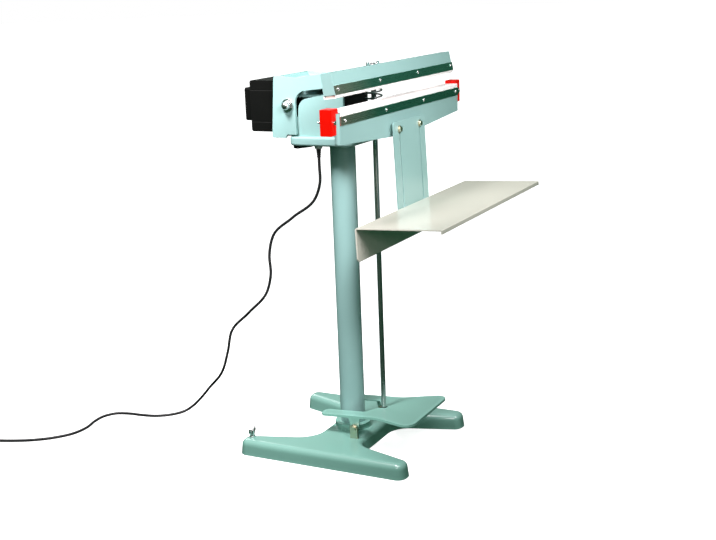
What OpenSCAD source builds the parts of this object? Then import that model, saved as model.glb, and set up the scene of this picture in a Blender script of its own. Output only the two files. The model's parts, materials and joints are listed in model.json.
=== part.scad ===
// Foot-operated pedestal impulse sealer, in millimetres.
// The origin is on the floor under the column's axis, +Z is up and the operator stands at -Y.

/* [Base] */
// Overall width of the base across both feet
base_w = 392; // [370:1:430]
// Length of each foot, front to back
base_l = 440; // [420:1:500]
// Distance of the base's middle in front of the column axis
base_front = 4; // [0:0.5:8]
// Height of the base casting
base_h = 37; // [34:0.5:44]
// Width of a foot at its tip
foot_tip_w = 46; // [44:0.5:54]
// Width of a foot where it meets the web
foot_root_w = 95; // [85:1:105]
// Width of the web between the feet, front to back
web_l = 124; // [116:1:140]
// Radius of the rounded top edge of the casting
base_edge_r = 15; // [8:0.5:16]
// Side draft of the casting
base_draft = 2.5; // [1:0.5:4]
// Radius of the fillet between a foot and the web
web_fillet_r = 55; // [40:1:60]
// Thickness of the casting over its hollows
base_wall = 8; // [6:0.5:12]
// Diameter of the collar that holds the column
collar_d = 88; // [82:1:96]
// Height of the collar above the web
collar_h = 14; // [12:1:24]

/* [Column] */
// Outside diameter of the column tube
column_d = 60.3; // [56:0.1:64]
// Wall of the column tube
column_wall = 3.2; // [2:0.1:5]
// Length of the column tube
column_len = 748; // [650:1:850]
// Diameter of the set screws that hold the column
set_screw_d = 8; // [6:1:10]

/* [Levelling screw] */
// Distance of the levelling screw from the outer side of the foot
level_in = 29; // [24:0.5:34]
// Distance of the levelling screw from the rear end of the foot
level_end = 25; // [22:0.5:40]
// Thread diameter of the levelling screw
level_d = 8; // [6:1:10]
// Height of the wings over the foot
level_rise = 25; // [20:1:35]

/* [Pedal] */
// Height of the pedal's pivot above the floor
pivot_h = 63; // [58:1:70]
// Distance of the pedal's pivot in front of the column axis
pivot_front = 44; // [42:0.5:48]
// Width of the tread at its front edge
pedal_front_w = 238; // [210:1:246]
// Width across the two arms of the pedal
pedal_waist_w = 154; // [146:1:164]
// Width of the opening round the column
pedal_opening_w = 86; // [78:1:92]
// Distance from the pivot to the front edge
pedal_reach = 168; // [150:1:176]
// Distance from the pivot to the end of the arms
pedal_tail = 93; // [70:1:98]
// Height of the tread's top above the pivot, square to the tread
pedal_rise = 29; // [27:0.5:34]
// Sheet thickness of the pedal
pedal_t = 3; // [2:0.5:4]
// Depth of the pedal's turned-down edge
pedal_rim = 6; // [5:0.5:10]
// Slope of the tread at rest, in degrees
pedal_slope = 3.3; // [1:0.1:4]
// Distance from the pivot to where the tread grows wider
pedal_flare = 60; // [30:1:80]
// Radius of the tread's front corners
pedal_corner_r = 22; // [10:1:30]
// Thickness of an ear on the web
ear_t = 6.5; // [5:0.5:8]
// Width of an ear on the web
ear_w = 20; // [18:1:22]
// Diameter of the pedal's pivot bolts
pivot_d = 8; // [6:0.5:9]

/* [Pull rod] */
// Diameter of the pull rod
rod_d = 12; // [10:0.5:14]
// Distance of the rod in front of the column axis
rod_front = 86; // [84:0.5:89]
// Diameter of the cross pin under the tread
cross_pin_d = 6; // [5:0.5:7]
// Length of the cross pin
cross_pin_len = 40; // [34:1:46]
// Height of the rod's end above the adjusting nut's body
rod_tip = 8; // [4:1:12]
// Spread of the adjusting nut's wings
nut_span = 46; // [36:1:52]

/* [Return spring] */
// Outside diameter of the spring
spring_d = 42; // [36:1:46]
// Diameter of the spring's wire
spring_wire = 4; // [3:0.5:5]
// Number of curls
spring_curls = 9; // [7:1:11]

/* [Head] */
// Width of the plinth on the column
plinth_w = 150; // [145:1:158]
// Reach of the plinth in front of the column axis
plinth_front = 60; // [52:1:66]
// Reach of the plinth behind the column axis
plinth_back = 105; // [98:1:115]
// Height of the plinth
plinth_h = 22; // [18:1:26]
// Depth of the column's socket in the plinth
plinth_socket = 16; // [12:1:17]
// Radius of the plinth's rounded lower and upper edges
plinth_edge_r = 6; // [3:0.5:8]
// Width of the lower body
body_w = 128; // [118:1:134]
// Reach of the lower body in front of the column axis
body_front = 39; // [36:1:44]
// Reach of the lower body behind the column axis
body_back = 139; // [136:1:144]
// Height of the lower body
body_h = 95; // [88:1:96]
// Wall of the lower body
body_wall = 6; // [4:0.5:8]
// Height of the side walls of the spring bay
yoke_h = 70; // [62:1:74]
// Height of the floor of the spring bay above the plinth's top
yoke_floor = 12; // [8:1:20]

/* [Lower jaw] */
// Length of the jaws
jaw_l = 636; // [560:1:680]
// Distance of the front plate's face in front of the column axis
jaw_front = 163; // [160:0.5:170]
// Width of the lower jaw, front to back
jaw_depth = 40; // [36:0.5:44]
// Height of the sealing face above the plinth's top
seal_rise = 88; // [84:0.5:92]
// Height of the lower jaw's bar
jaw_bar_h = 42; // [36:1:46]
// Sheet thickness of the front plate
plate_t = 3; // [2:0.5:4]
// Height of the front plate in the middle
plate_h = 79; // [74:1:82]
// Height of the front plate at its ends
plate_end_h = 64; // [56:1:68]
// Length by which the front plate stands past the jaw at each end
plate_over = 6; // [4:0.5:10]
// Half length of the front plate's level lower edge
plate_flat = 80; // [60:1:110]
// Depth of the end flanges of the front plate
plate_flange = 10; // [6:1:10]
// Height of the lower clamp strip
lower_strip_h = 19; // [16:0.5:24]
// Thickness of the clamp strips
strip_t = 2; // [1.5:0.5:3]
// Diameter of the clamp screws' heads
strip_screw_d = 8; // [6:0.5:9]
// Thickness of the coated cloth over the jaws
cloth_t = 0.8; // [0.6:0.1:1.2]
// Width of the heating element
element_w = 5; // [3:0.5:8]
// Thickness of the heating element
element_t = 0.6; // [0.5:0.1:1]
// Thickness of the insulating strip under the element
insulation_t = 1.6; // [1:0.2:2.4]

/* [Terminal blocks] */
// Distance of a block's outer face past the front plate's end
block_out = 20; // [16:1:26]
// Setback of a block's face from the front plate's face
block_set = 5; // [4:0.5:8]
// Depth of a block, front to back
block_depth = 27; // [24:0.5:33]
// Height of a block
block_h = 54.5; // [44:0.5:60]
// Height of a block above the sealing face
block_lip = 7.5; // [3:0.5:9]

/* [Upper arm] */
// Distance of the arm's pivot behind the column axis
arm_pivot_back = 100; // [96:1:106]
// Height of the arm's pivot above the plinth's top
arm_pivot_rise = 72; // [66:1:76]
// Diameter of the arm's pivot bolts
arm_pivot_d = 14; // [10:0.5:16]
// Side gap between the body and a cheek
cheek_gap = 2.5; // [1:0.5:4]
// Thickness of a cheek
cheek_t = 7; // [5:0.5:9]
// Width of a cheek's leg below the pivot
leg_w = 66; // [60:1:70]
// Thickness of the arm's top plate
arm_plate_t = 8; // [6:0.5:10]
// Height of the top plate's upper face above the sealing face
arm_top = 42; // [40:0.5:46]
// Height of the nut's boss over the top plate
boss_h = 12; // [8:1:16]
// Height of a cheek's front end over the top plate
cheek_rise = 28; // [16:1:34]

/* [Upper jaw] */
// Angle by which the upper arm stands open, in degrees
open_angle = 6.1; // [5:0.1:6.5]
// Setback of the upper jaw's face from the front plate's face with the jaws shut
upper_setback = 6; // [4:0.5:8]
// Depth of the upper jaw at its foot
upper_depth = 28; // [25:0.5:32]
// Height of the upper jaw's shell
upper_h = 46; // [40:1:52]
// Lean of the upper jaw's face towards the back over its height
upper_lean = 4; // [2:0.5:8]
// Sheet thickness of the upper jaw's shell
shell_t = 3; // [2:0.5:4]
// Thickness of the silicone pad
pad_t = 5; // [4:0.5:7]
// Height of the upper clamp strip
upper_strip_h = 19.5; // [14:0.5:22]

/* [Control box] */
// Width of the control box
box_w = 124; // [112:1:126]
// Depth of the control box
box_depth = 69; // [66:1:85]
// Height of the control box
box_h = 120; // [108:1:126]
// Height of the box's bottom above the plinth's top
box_rise = 8; // [4:1:12]
// Wall of the control box
box_wall = 3; // [2:0.5:4]
// Width of the raised rear panel
panel_w = 92; // [84:1:100]
// Height of the raised rear panel
panel_h = 78; // [72:1:86]
// Depth of the raised rear panel
panel_depth = 25; // [20:1:30]
// Diameter of the timer knob
knob_d = 30; // [24:1:34]
// Height of the timer knob
knob_h = 14; // [10:1:18]

/* [Work table] */
// Width of the work table
table_w = 608; // [520:1:680]
// Depth of the work table
table_depth = 198; // [160:1:240]
// Drop of the table's back edge below the sealing face
table_drop = 243; // [200:1:300]
// Lean of the bracket and the table on it, in degrees
table_tilt = 2.3; // [0:0.1:4]
// Height of the table's rear skirt
skirt_h = 74; // [64:1:90]
// Height of the table's front lip
lip_h = 9; // [6:0.5:14]
// Sheet thickness of the table
table_t = 3; // [2:0.5:4]
// Width of the table bracket
bracket_w = 170; // [150:1:190]
// Distance of the bracket's bolts from the centre line
bracket_bolt_x = 55; // [45:1:60]
// Drop of the bracket's bolts below the sealing face
bracket_bolt_drop = 67; // [65:0.5:69]
// Diameter of the bracket's bolts
bracket_bolt_d = 6; // [5:0.5:8]
// Stand-off of the bracket in front of the front plate
bracket_gap = 8; // [6:0.5:10]
// Sheet thickness of the bracket
bracket_t = 3; // [2:0.5:4]
// Length of the bracket's slots
slot_l = 181; // [100:1:185]

/* [Cord] */
// Diameter of the mains cord
cord_d = 7; // [6:0.5:8]
// Radius of the coil at its outer turn
coil_r = 44; // [40:1:48]
// Turns of the coil in each of its two layers
coil_turns = 1.5; // [1.5:1:2.5]
// Length of the plug's body
plug_len = 42; // [36:1:50]
// Diameter of the plug's body
plug_d = 30; // [26:1:34]

/* [Hidden] */
$fn = 48;

// Clearances
fit = 0.05;
seat = 0.1;
play = 0.3;
bite = 1;

// Colours
teal = [0.58, 0.80, 0.77];
steel = [0.75, 0.76, 0.76];
chrome = [0.85, 0.86, 0.87];
zinc = [0.79, 0.74, 0.55];
black = [0.07, 0.07, 0.07];
red = [0.85, 0.07, 0.05];
white = [0.93, 0.93, 0.90];

// Heights of the column and the head
column_z = base_wall;
column_top = column_z + column_len;
plinth_z = column_top - plinth_socket;
head_z = plinth_z + plinth_h;
seal_z = head_z + seal_rise;
yoke_z = head_z + yoke_floor;
yoke_t = 8;
spring_floor = yoke_z + yoke_t;

// Arm and upper jaw
arm_pivot_z = head_z + arm_pivot_rise;
cheek_in = body_w / 2 + cheek_gap;
cheek_out = cheek_in + cheek_t;
arm_top_z = seal_z + arm_top;
arm_under_z = arm_top_z - arm_plate_t;
boss_z = arm_top_z + boss_h;
shut_gap = 0.3;
carrier_foot = 1;
upper_z = seal_z + shut_gap + cloth_t + pad_t + carrier_foot;
upper_face = jaw_front - upper_setback;
upper_back = upper_face - upper_depth;
upper_l = jaw_l - 10;
shell_top_z = upper_z + upper_h;

// Lower jaw
bar_top_z = seal_z - cloth_t - element_t - insulation_t;
bar_front = jaw_front - plate_t;
bar_back = jaw_front - jaw_depth;
bar_l = jaw_l - 2 * plate_t - 0.6;
lower_strip_z = bar_top_z - 6 - lower_strip_h;
plate_end = jaw_l / 2 + plate_over;

// Pedal and rod
pedal_under = pedal_rise - pedal_t;
pin_gap = 0.6;
rod_lever = rod_front - pivot_front;
tread_under_z = pivot_h + pedal_under / cos(pedal_slope) + rod_lever * tan(pedal_slope);
pin_z = tread_under_z - (cross_pin_d / 2 + pin_gap) / cos(pedal_slope);
rod_z = pin_z - 9;
nut_gap = 0.4;
nut_ball_r = 16;
nut_body_h = 13;
nut_z = boss_z + nut_gap;
rod_top = nut_z + nut_body_h + rod_tip;
rod_slot_w = rod_d + 3;
lug_t = 4;
ear_x = pedal_waist_w / 2 + 0.5;

// Control box
box_y = body_back;
box_z = head_z + box_rise;
box_back = box_y + box_depth;
panel_z = box_z + (box_h - panel_h) / 2 + 2;
panel_face = box_back + panel_depth;
panel_wall = 3;
knob_x = 20;
knob_z = panel_z + panel_h - 26;
rocker_x = -22;
rocker_z = panel_z + panel_h - 26;
rocker_w = 14;
rocker_h = 22;
pot_d = 22;
pot_shaft_d = 6;
lamp_x = 0;
lamp_z = panel_z + 20;
lamp_d = 10;

// Table
bracket_back = jaw_front + bracket_gap;
bracket_face = bracket_back + bracket_t;
bracket_bolt_z = seal_z - bracket_bolt_drop;
bracket_top_z = bracket_bolt_z + 17;
table_z = seal_z - table_drop;
skirt_z = table_z - skirt_h;
bracket_z = skirt_z + 12;
slot_w = bracket_bolt_d + 2 * play;

// Cord: gland, route on the floor, coil and plug
cord_r = cord_d / 2;
gland_x = -55;
gland_y = 34;
gland_h = 29;
gland_nut_h = 7;
gland_d = 18;
gland_end = plinth_z - gland_h;
tie_t = 1.2;
tie_gap = 0.3;
coil_z = cord_r + tie_t + tie_gap;
floor_z = cord_r + 0.1;
coil_x = -425;
coil_y = 890;
coil_start_angle = 20;
coil_step = cord_d + 0.8;
coil_span = 2 * coil_turns;
coil_lead = cord_d;
// Route of the cord from the gland to the coil, hand-placed on what the cord hangs from and lies on
cord_route = [
    [-55, 34, 690], [-55, 34, 655], [-53, 49, 616], [-42, 121, 562], [-33, 183, 512],
    [-31, 198, 462], [-31, 197, 415], [-28, 212, 368], [-19, 276, 304], [-12, 335, 248],
    [-9, 353, 190], [-5, 378, 130], [3, 427, 78], [7, 460, 43], [5, 482, 22], [-3, 499, 9],
    [-17, 513, 4], [-40, 530, 3.6], [-60, 560, 3.6], [-69, 603, 3.6], [-73, 642, 3.6], [-85, 673, 3.6],
    [-113, 690, 3.6], [-152, 690, 3.6], [-198, 680, 3.6], [-246, 686, 3.6], [-288, 714, 3.6],
    [-322, 756, 3.6], [-346, 804, 3.8],
];

// Shape helpers

function unit(v) = v / norm(v);

// Points of the arc that rounds corner b, r wide, between its neighbours a and c
function corner_arc(a, b, c, r, steps) =
    let (
        u = unit(a - b),
        w = unit(c - b),
        half = acos(u * w) / 2,
        o = b + unit(u + w) * r / sin(half),
        p = b + u * r / tan(half),
        q = b + w * r / tan(half),
        a0 = atan2(p.y - o.y, p.x - o.x),
        a1 = atan2(q.y - o.y, q.x - o.x),
        sweep = (a1 - a0 + 540) % 360 - 180
    )
    [for (i = [0:steps]) o + r * [cos(a0 + sweep * i / steps), sin(a0 + sweep * i / steps)]];

// Outline from corners [x, y, r]; a corner with no radius stays sharp
function rounded(corners, steps = 8) = [
    for (i = [0:len(corners) - 1])
        let (
            n = len(corners),
            a = corners[(i + n - 1) % n],
            b = corners[i],
            c = corners[(i + 1) % n]
        )
        each b[2] > 0
            ? corner_arc([a.x, a.y], [b.x, b.y], [c.x, c.y], b[2], steps)
            : [[b.x, b.y]]
];

function left_of(v) = [-v.y, v.x];
function cross_z(u, w) = u.x * w.y - u.y * w.x;

// Corners of a counter-clockwise outline moved inwards by d, with their radii grown or shrunk to match
function inset(corners, d) = [
    for (i = [0:len(corners) - 1])
        let (
            n = len(corners),
            a = corners[(i + n - 1) % n],
            b = corners[i],
            c = corners[(i + 1) % n],
            u = unit([b.x - a.x, b.y - a.y]),
            w = unit([c.x - b.x, c.y - b.y]),
            turn = cross_z(u, w),
            shift = (left_of(u) + left_of(w)) * d / (1 + u * w)
        )
        [b.x + shift.x, b.y + shift.y, b[2] == 0 ? 0 : b[2] - sign(turn) * d]
];

// Faces of a stack of equal rings, closed at both ends between points that face each other
function stack_faces(rings, n) = concat(
    [for (k = [0:n / 2 - 2]) each [[k, k + 1, n - 1 - k], [k + 1, n - 2 - k, n - 1 - k]]],
    [for (i = [0:rings - 2], j = [0:n - 1]) each [
        [i * n + j, (i + 1) * n + j, i * n + (j + 1) % n],
        [i * n + (j + 1) % n, (i + 1) * n + j, (i + 1) * n + (j + 1) % n]]],
    let (t = (rings - 1) * n)
        [for (k = [0:n / 2 - 2]) each [[t + k, t + n - 1 - k, t + k + 1],
            [t + k + 1, t + n - 1 - k, t + n - 2 - k]]]
);

// Casting with the given outline; levels are [inset, height] pairs from the bottom up.
// The outline is the same before and behind, and starts at its right rear corner.
module lofted(corners, levels, steps = 8) {
    rings = [for (l = levels) [for (p = rounded(inset(corners, l[0]), steps)) [p.x, p.y, l[1]]]];
    n = len(rings[0]);
    polyhedron([for (r = rings) each r], stack_faces(len(rings), n), convexity = 6);
}

module slab(corners, z0, z1) {
    translate([0, 0, z0]) linear_extrude(z1 - z0) polygon(rounded(corners));
}

// Outline in Y and Z, drawn out along X
module along_x(corners, x0, x1) {
    translate([x0, 0, 0]) rotate([90, 0, 90]) linear_extrude(x1 - x0) polygon(rounded(corners));
}

// Outline in X and Z, drawn out along Y
module along_y(corners, y0, y1) {
    translate([0, y1, 0]) rotate([90, 0, 0]) linear_extrude(y1 - y0) polygon(rounded(corners));
}

module rod_x(d, x0, x1) {
    translate([x0, 0, 0]) rotate([0, 90, 0]) cylinder(d = d, h = x1 - x0);
}

module rod_y(d, y0, y1) {
    translate([0, y0, 0]) rotate([-90, 0, 0]) cylinder(d = d, h = y1 - y0);
}

module hex_x(flats, x0, x1) {
    translate([x0, 0, 0]) rotate([0, 90, 0]) cylinder(d = flats / cos(30), h = x1 - x0, $fn = 6);
}

module hex_y(flats, y0, y1) {
    translate([0, y0, 0]) rotate([-90, 0, 0]) cylinder(d = flats / cos(30), h = y1 - y0, $fn = 6);
}

module block(lo, hi) {
    translate(lo) cube(hi - lo);
}

module both_sides() {
    children();
    mirror([1, 0, 0]) children();
}

function box_corners(x0, y0, x1, y1, r) = [[x0, y0, r], [x1, y0, r], [x1, y1, r], [x0, y1, r]];

// Slot outline along the second axis
function slot_corners(x, y0, y1, w) = box_corners(x - w / 2, y0, x + w / 2, y1, w / 2 - 0.01);

// Tube helpers

// Smooth curve through the points, with the given number of steps between two of them
function smooth(points, steps) = [
    for (i = [0:len(points) - 2], k = [0:steps - 1])
        let (
            n = len(points),
            a = points[max(i - 1, 0)],
            b = points[i],
            c = points[i + 1],
            d = points[min(i + 2, n - 1)],
            t = k / steps
        )
        b + 0.5 * ((c - a) * t + (2 * a - 5 * b + 4 * c - d) * t * t
            + (3 * b - 3 * c + d - a) * t * t * t),
    points[len(points) - 1],
];

function tangents(path) = [
    for (i = [0:len(path) - 1])
        unit(path[min(i + 1, len(path) - 1)] - path[max(i - 1, 0)])
];

// Side vectors carried along the path without twist
function carried(tans, start) = [
    for (i = 0, s = start; i < len(tans);
         i = i + 1, s = i < len(tans) ? unit(s - tans[i] * (s * tans[i])) : s) s
];

module tube(path, r, sides, start) {
    tans = tangents(path);
    side = carried(tans, unit(start - tans[0] * (start * tans[0])));
    rings = [
        for (i = [0:len(path) - 1])
            let (u = side[i], w = cross(tans[i], u))
            each [for (j = [0:sides - 1])
                path[i] + r * (u * cos(360 * j / sides) + w * sin(360 * j / sides))]
    ];
    n = len(path);
    faces = concat(
        [for (j = [1:sides - 2]) [0, j + 1, j]],
        [for (i = [0:n - 2], j = [0:sides - 1]) each [
            [i * sides + j, i * sides + (j + 1) % sides, (i + 1) * sides + j],
            [i * sides + (j + 1) % sides, (i + 1) * sides + (j + 1) % sides, (i + 1) * sides + j]]],
        [for (j = [1:sides - 2]) [(n - 1) * sides, (n - 1) * sides + j, (n - 1) * sides + j + 1]]
    );
    polyhedron(rings, [for (f = faces) [f[0], f[2], f[1]]], convexity = 10);
}

// Least distance between parts of a path that lie more than apart points from each other
function self_distance(path, apart) = min([
    for (i = [0:len(path) - 1], j = [i + apart:len(path) - 1]) norm(path[i] - path[j])
]);

// Base and column

base_corners = let (
    x = base_w / 2,
    y = base_l / 2,
    tip = x - foot_tip_w,
    root = x - foot_root_w,
    web = web_l / 2,
    r = foot_tip_w / 2 - 1
) [
    [x, y, r], [tip, y, r], [root, web, web_fillet_r], [-root, web, web_fillet_r],
    [-tip, y, r], [-x, y, r], [-x, -y, r], [-tip, -y, r],
    [-root, -web, web_fillet_r], [root, -web, web_fillet_r], [tip, -y, r], [x, -y, r],
];

edge_steps = 5;
base_levels = concat(
    [[0, 0]],
    [for (i = [0:edge_steps]) [
        base_draft + base_edge_r * (1 - cos(90 * i / edge_steps)),
        base_h - base_edge_r * (1 - sin(90 * i / edge_steps))]]
);

module collar_screws(z, out_d, gap) {
    for (a = [60, 120])
        rotate([0, 0, a]) translate([column_d / 2 + (gap > 0 ? 0 : seat), 0, z]) rotate([0, 90, 0])
            cylinder(d = set_screw_d + gap, h = (out_d - column_d) / 2 + (gap > 0 ? bite : -seat));
}

collar_screw_z = base_h + collar_h / 2;
// The hollows stay lower where the rounded edge thins the casting
hollow_drop = 3;
hollow_h = base_h - base_wall - hollow_drop;
hollow_w = foot_tip_w - 2 * base_wall;

module base_hollows() {
    both_sides() {
        slab(box_corners(base_w / 2 - base_wall - hollow_w, -base_l / 2 + foot_tip_w / 2,
            base_w / 2 - base_wall, base_l / 2 - foot_tip_w / 2 - 24, hollow_w / 2 - 1), -bite, hollow_h);
        slab(box_corners(collar_d / 2 + base_wall, -web_l / 2 + 4 * base_wall,
            base_w / 2 - foot_tip_w - base_wall, web_l / 2 - 2 * base_wall, 8), -bite, hollow_h);
    }
}

module base_casting() {
    color(teal) difference() {
        union() {
            translate([0, -base_front, 0]) lofted(base_corners, base_levels);
            translate([0, 0, base_wall]) cylinder(d = collar_d, h = base_h + collar_h - base_wall);
        }
        translate([0, 0, column_z]) cylinder(d = column_d + 2 * seat, h = base_h + collar_h);
        translate([0, -base_front, 0]) base_hollows();
        collar_screws(collar_screw_z, collar_d, 2 * seat);
        translate([-level_x, level_y, -bite]) cylinder(d = level_d + 2 * fit, h = base_h + 2 * bite);
        ear_stems(2 * seat);
    }
}

module column_tube() {
    color(teal) translate([0, 0, column_z]) difference() {
        cylinder(d = column_d, h = column_len);
        translate([0, 0, -bite]) cylinder(d = column_d - 2 * column_wall, h = column_len + 2 * bite);
    }
}

module column_set_screws() {
    color(black) {
        collar_screws(collar_screw_z, collar_d, 0);
    }
}

level_x = base_w / 2 - level_in;
level_y = base_l / 2 - base_front - level_end;
wing_t = 3;
module wing(span, z0, z1, hub_d, r) {
    along_y([[hub_d / 2 - 1, z0, 0], [hub_d / 2 + 2, z0, 0], [span / 2, (z0 + z1) / 2, r],
        [span / 2 - 2, z1, r], [hub_d / 2 + 4, z1 - 2, r], [hub_d / 2 - 1, z0 + 9, 0]],
        -wing_t / 2, wing_t / 2);
}

level_hub_d = level_d + 4;
level_hub_z = base_h + 6;
module levelling_screw() {
    color([0.35, 0.35, 0.36]) translate([-level_x, level_y, 0]) {
        translate([0, 0, 0.6]) cylinder(d = level_d, h = level_hub_z + 2);
        translate([0, 0, level_hub_z]) cylinder(d = level_hub_d, h = 12);
        translate([0, 0, base_h + play]) cylinder(d = level_d + 7, h = 4.5, $fn = 6);
        both_sides() wing(30, level_hub_z + 1, base_h + level_rise, level_hub_d, 1.4);
    }
}

// Pedal and its pivots

ear_stem_d = 10;
ear_stem_h = 14;
module ear_stems(gap) {
    both_sides() translate([ear_x + ear_t / 2, -pivot_front, base_h - ear_stem_h])
        cylinder(d = min(ear_stem_d, ear_t) + gap, h = ear_stem_h + (gap > 0 ? bite : 0));
}

module pedal_ears() {
    color(teal) {
        both_sides() translate([0, -pivot_front, 0]) difference() {
            union() {
                along_x([[-ear_w / 2, base_h, 0], [ear_w / 2, base_h, 0], [ear_w / 2, pivot_h, 0],
                    [-ear_w / 2, pivot_h, 0]], ear_x, ear_x + ear_t);
                translate([0, 0, pivot_h]) rod_x(ear_w, ear_x, ear_x + ear_t);
            }
            translate([0, 0, pivot_h]) rod_x(pivot_d + 2 * seat, ear_x - bite, ear_x + ear_t + bite);
        }
        ear_stems(0);
    }
}

pivot_head_h = 5.5;
pivot_nut_h = 6;
pivot_flats = pivot_d + 5;
module pedal_pivot_bolts() {
    nut_x = pedal_waist_w / 2 - lug_t - play;
    color(zinc) both_sides() translate([0, -pivot_front, pivot_h]) {
        rod_x(pivot_d, nut_x - pivot_nut_h - 2, ear_x + ear_t);
        rod_x(pivot_flats + 4, ear_x + ear_t, ear_x + ear_t + 1.5);
        hex_x(pivot_flats, ear_x + ear_t + 1.5, ear_x + ear_t + 1.5 + pivot_head_h);
        hex_x(pivot_flats, nut_x - pivot_nut_h, nut_x);
    }
}

// Outline of the tread seen square on, with the pivot's axis at y = 0
slot_front = rod_lever / cos(pedal_slope) + rod_slot_w / 2 + 3;
tread_corners = let (f = pedal_front_w / 2, w = pedal_waist_w / 2, o = pedal_opening_w / 2,
    s = rod_slot_w / 2 + 1.5) [
    [f, -pedal_reach, pedal_corner_r], [w, -pedal_flare, 60], [w, pedal_tail, 12], [o, pedal_tail, 12],
    [o, -12, 8], [s, -33, 5], [s, -slot_front, s - 0.1],
    [-s, -slot_front, s - 0.1], [-s, -33, 5], [-o, -12, 8],
    [-o, pedal_tail, 12], [-w, pedal_tail, 12], [-w, -pedal_flare, 60], [-f, -pedal_reach, pedal_corner_r],
];
rim_corners = let (f = pedal_front_w / 2 - pedal_t, w = pedal_waist_w / 2 - pedal_t) [
    [f, -pedal_reach + pedal_t, pedal_corner_r - pedal_t], [w, -pedal_flare, 60], [w, pedal_tail + bite, 0],
    [-w, pedal_tail + bite, 0], [-w, -pedal_flare, 60],
    [-f, -pedal_reach + pedal_t, pedal_corner_r - pedal_t],
];

module pedal() {
    lug_r = pivot_d / 2 + 6;
    color(teal) translate([0, -pivot_front, pivot_h]) rotate([-pedal_slope, 0, 0]) difference() {
        union() {
            difference() {
                slab(tread_corners, pedal_rise - pedal_rim, pedal_rise);
                slab(rim_corners, pedal_rise - pedal_rim - bite, pedal_under);
            }
            both_sides() {
                along_x([[-lug_r - 6, pedal_under, 0], [-lug_r, 0, 0], [lug_r, 0, 0],
                    [lug_r + 6, pedal_under, 0]], pedal_waist_w / 2 - lug_t, pedal_waist_w / 2);
                rod_x(2 * lug_r, pedal_waist_w / 2 - lug_t, pedal_waist_w / 2);
            }
        }
        both_sides() rod_x(pivot_d + 2 * fit, pedal_waist_w / 2 - lug_t - bite, pedal_waist_w / 2 + bite);
    }
}

// Pull rod, adjusting nut and return spring

module at_rod() {
    translate([0, -rod_front, 0]) children();
}

module pull_rod() {
    color(chrome) at_rod() difference() {
        translate([0, 0, rod_z]) cylinder(d = rod_d, h = rod_top - rod_z);
        translate([0, 0, pin_z]) rod_x(cross_pin_d + 2 * seat, -rod_d, rod_d);
    }
}

module cross_pin() {
    color(steel) at_rod() translate([0, 0, pin_z]) rod_x(cross_pin_d, -cross_pin_len / 2, cross_pin_len / 2);
}

nut_d = rod_d + 10;
module adjusting_nut() {
    ball_z = nut_z + sqrt(nut_ball_r * nut_ball_r - rod_d * rod_d / 4);
    color(chrome) at_rod() difference() {
        union() {
            intersection() {
                translate([0, 0, ball_z]) sphere(r = nut_ball_r);
                translate([0, 0, nut_z]) cylinder(d = nut_d, h = 5);
            }
            translate([0, 0, nut_z + 4]) cylinder(d = nut_d, h = nut_body_h - 4);
            rotate([0, 0, -14]) both_sides() wing(nut_span, nut_z + 5, nut_z + nut_body_h + 12, nut_d, 2.5);
        }
        translate([0, 0, nut_z - bite]) cylinder(d = rod_d + 2 * fit, h = nut_body_h + 20);
    }
}

bush_wall = 3;
bush_d = rod_d + 2 * bush_wall;
module rod_guide_bush() {
    color([0.70, 0.52, 0.28]) at_rod() difference() {
        translate([0, 0, yoke_z]) cylinder(d = bush_d, h = yoke_t);
        translate([0, 0, yoke_z - bite]) cylinder(d = rod_d + 2 * fit, h = yoke_t + 2 * bite);
    }
}

seat_t = 2;
module spring_seat() {
    color(steel) at_rod() translate([0, 0, spring_floor]) difference() {
        cylinder(d = spring_d + 4, h = seat_t);
        translate([0, 0, -bite]) cylinder(d = bush_d, h = seat_t + 2 * bite);
    }
}

// Wire of the spring: a straight end, the curls, and a straight end
spring_z = spring_floor + seat_t + seat;
spring_top = arm_under_z - seat;
spring_r = (spring_d - spring_wire) / 2;
spring_rings = 8;
spring_end = spring_wire;
spring_path = let (
    z0 = spring_z + spring_end,
    z1 = spring_top - spring_end,
    n = spring_curls * spring_rings
) concat(
    [[spring_r, 0, spring_z]],
    [for (i = [0:n]) let (a = 360 * i / spring_rings)
        [spring_r * cos(a), spring_r * sin(a), z0 + (z1 - z0) * i / n]],
    [[spring_r, 0, spring_top]]
);
echo(spring_self_gap = self_distance(spring_path, 5) - spring_wire);

module return_spring() {
    color([0.55, 0.56, 0.56]) at_rod() tube(spring_path, spring_wire / 2, 6, [1, 0, 0]);
}

// Head

plinth_corners = let (w = plinth_w / 2, r = 20) [
    [w, plinth_back, r], [-w, plinth_back, r], [-w, -plinth_front, r], [w, -plinth_front, r]];
plinth_levels = concat(
    [for (i = [0:edge_steps]) [plinth_edge_r * (1 - sin(90 * i / edge_steps)),
        plinth_z + plinth_edge_r * (1 - cos(90 * i / edge_steps))]],
    [for (i = [0:edge_steps]) [plinth_edge_r * (1 - cos(90 * i / edge_steps)),
        head_z - plinth_edge_r * (1 - sin(90 * i / edge_steps))]]
);
module head_plinth() {
    color(teal) difference() {
        lofted(plinth_corners, plinth_levels);
        translate([0, 0, plinth_z - bite]) cylinder(d = column_d + 2 * seat, h = plinth_socket + bite);
    }
}

module bottom_cover() {
    color(black) along_x([[50, plinth_z - 3, 0], [86, plinth_z - 8, 2], [96, plinth_z - 7, 2],
        [96, plinth_z, 0], [50, plinth_z, 0]], -plinth_w / 2 + 12, plinth_w / 2 - 12);
}

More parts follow.
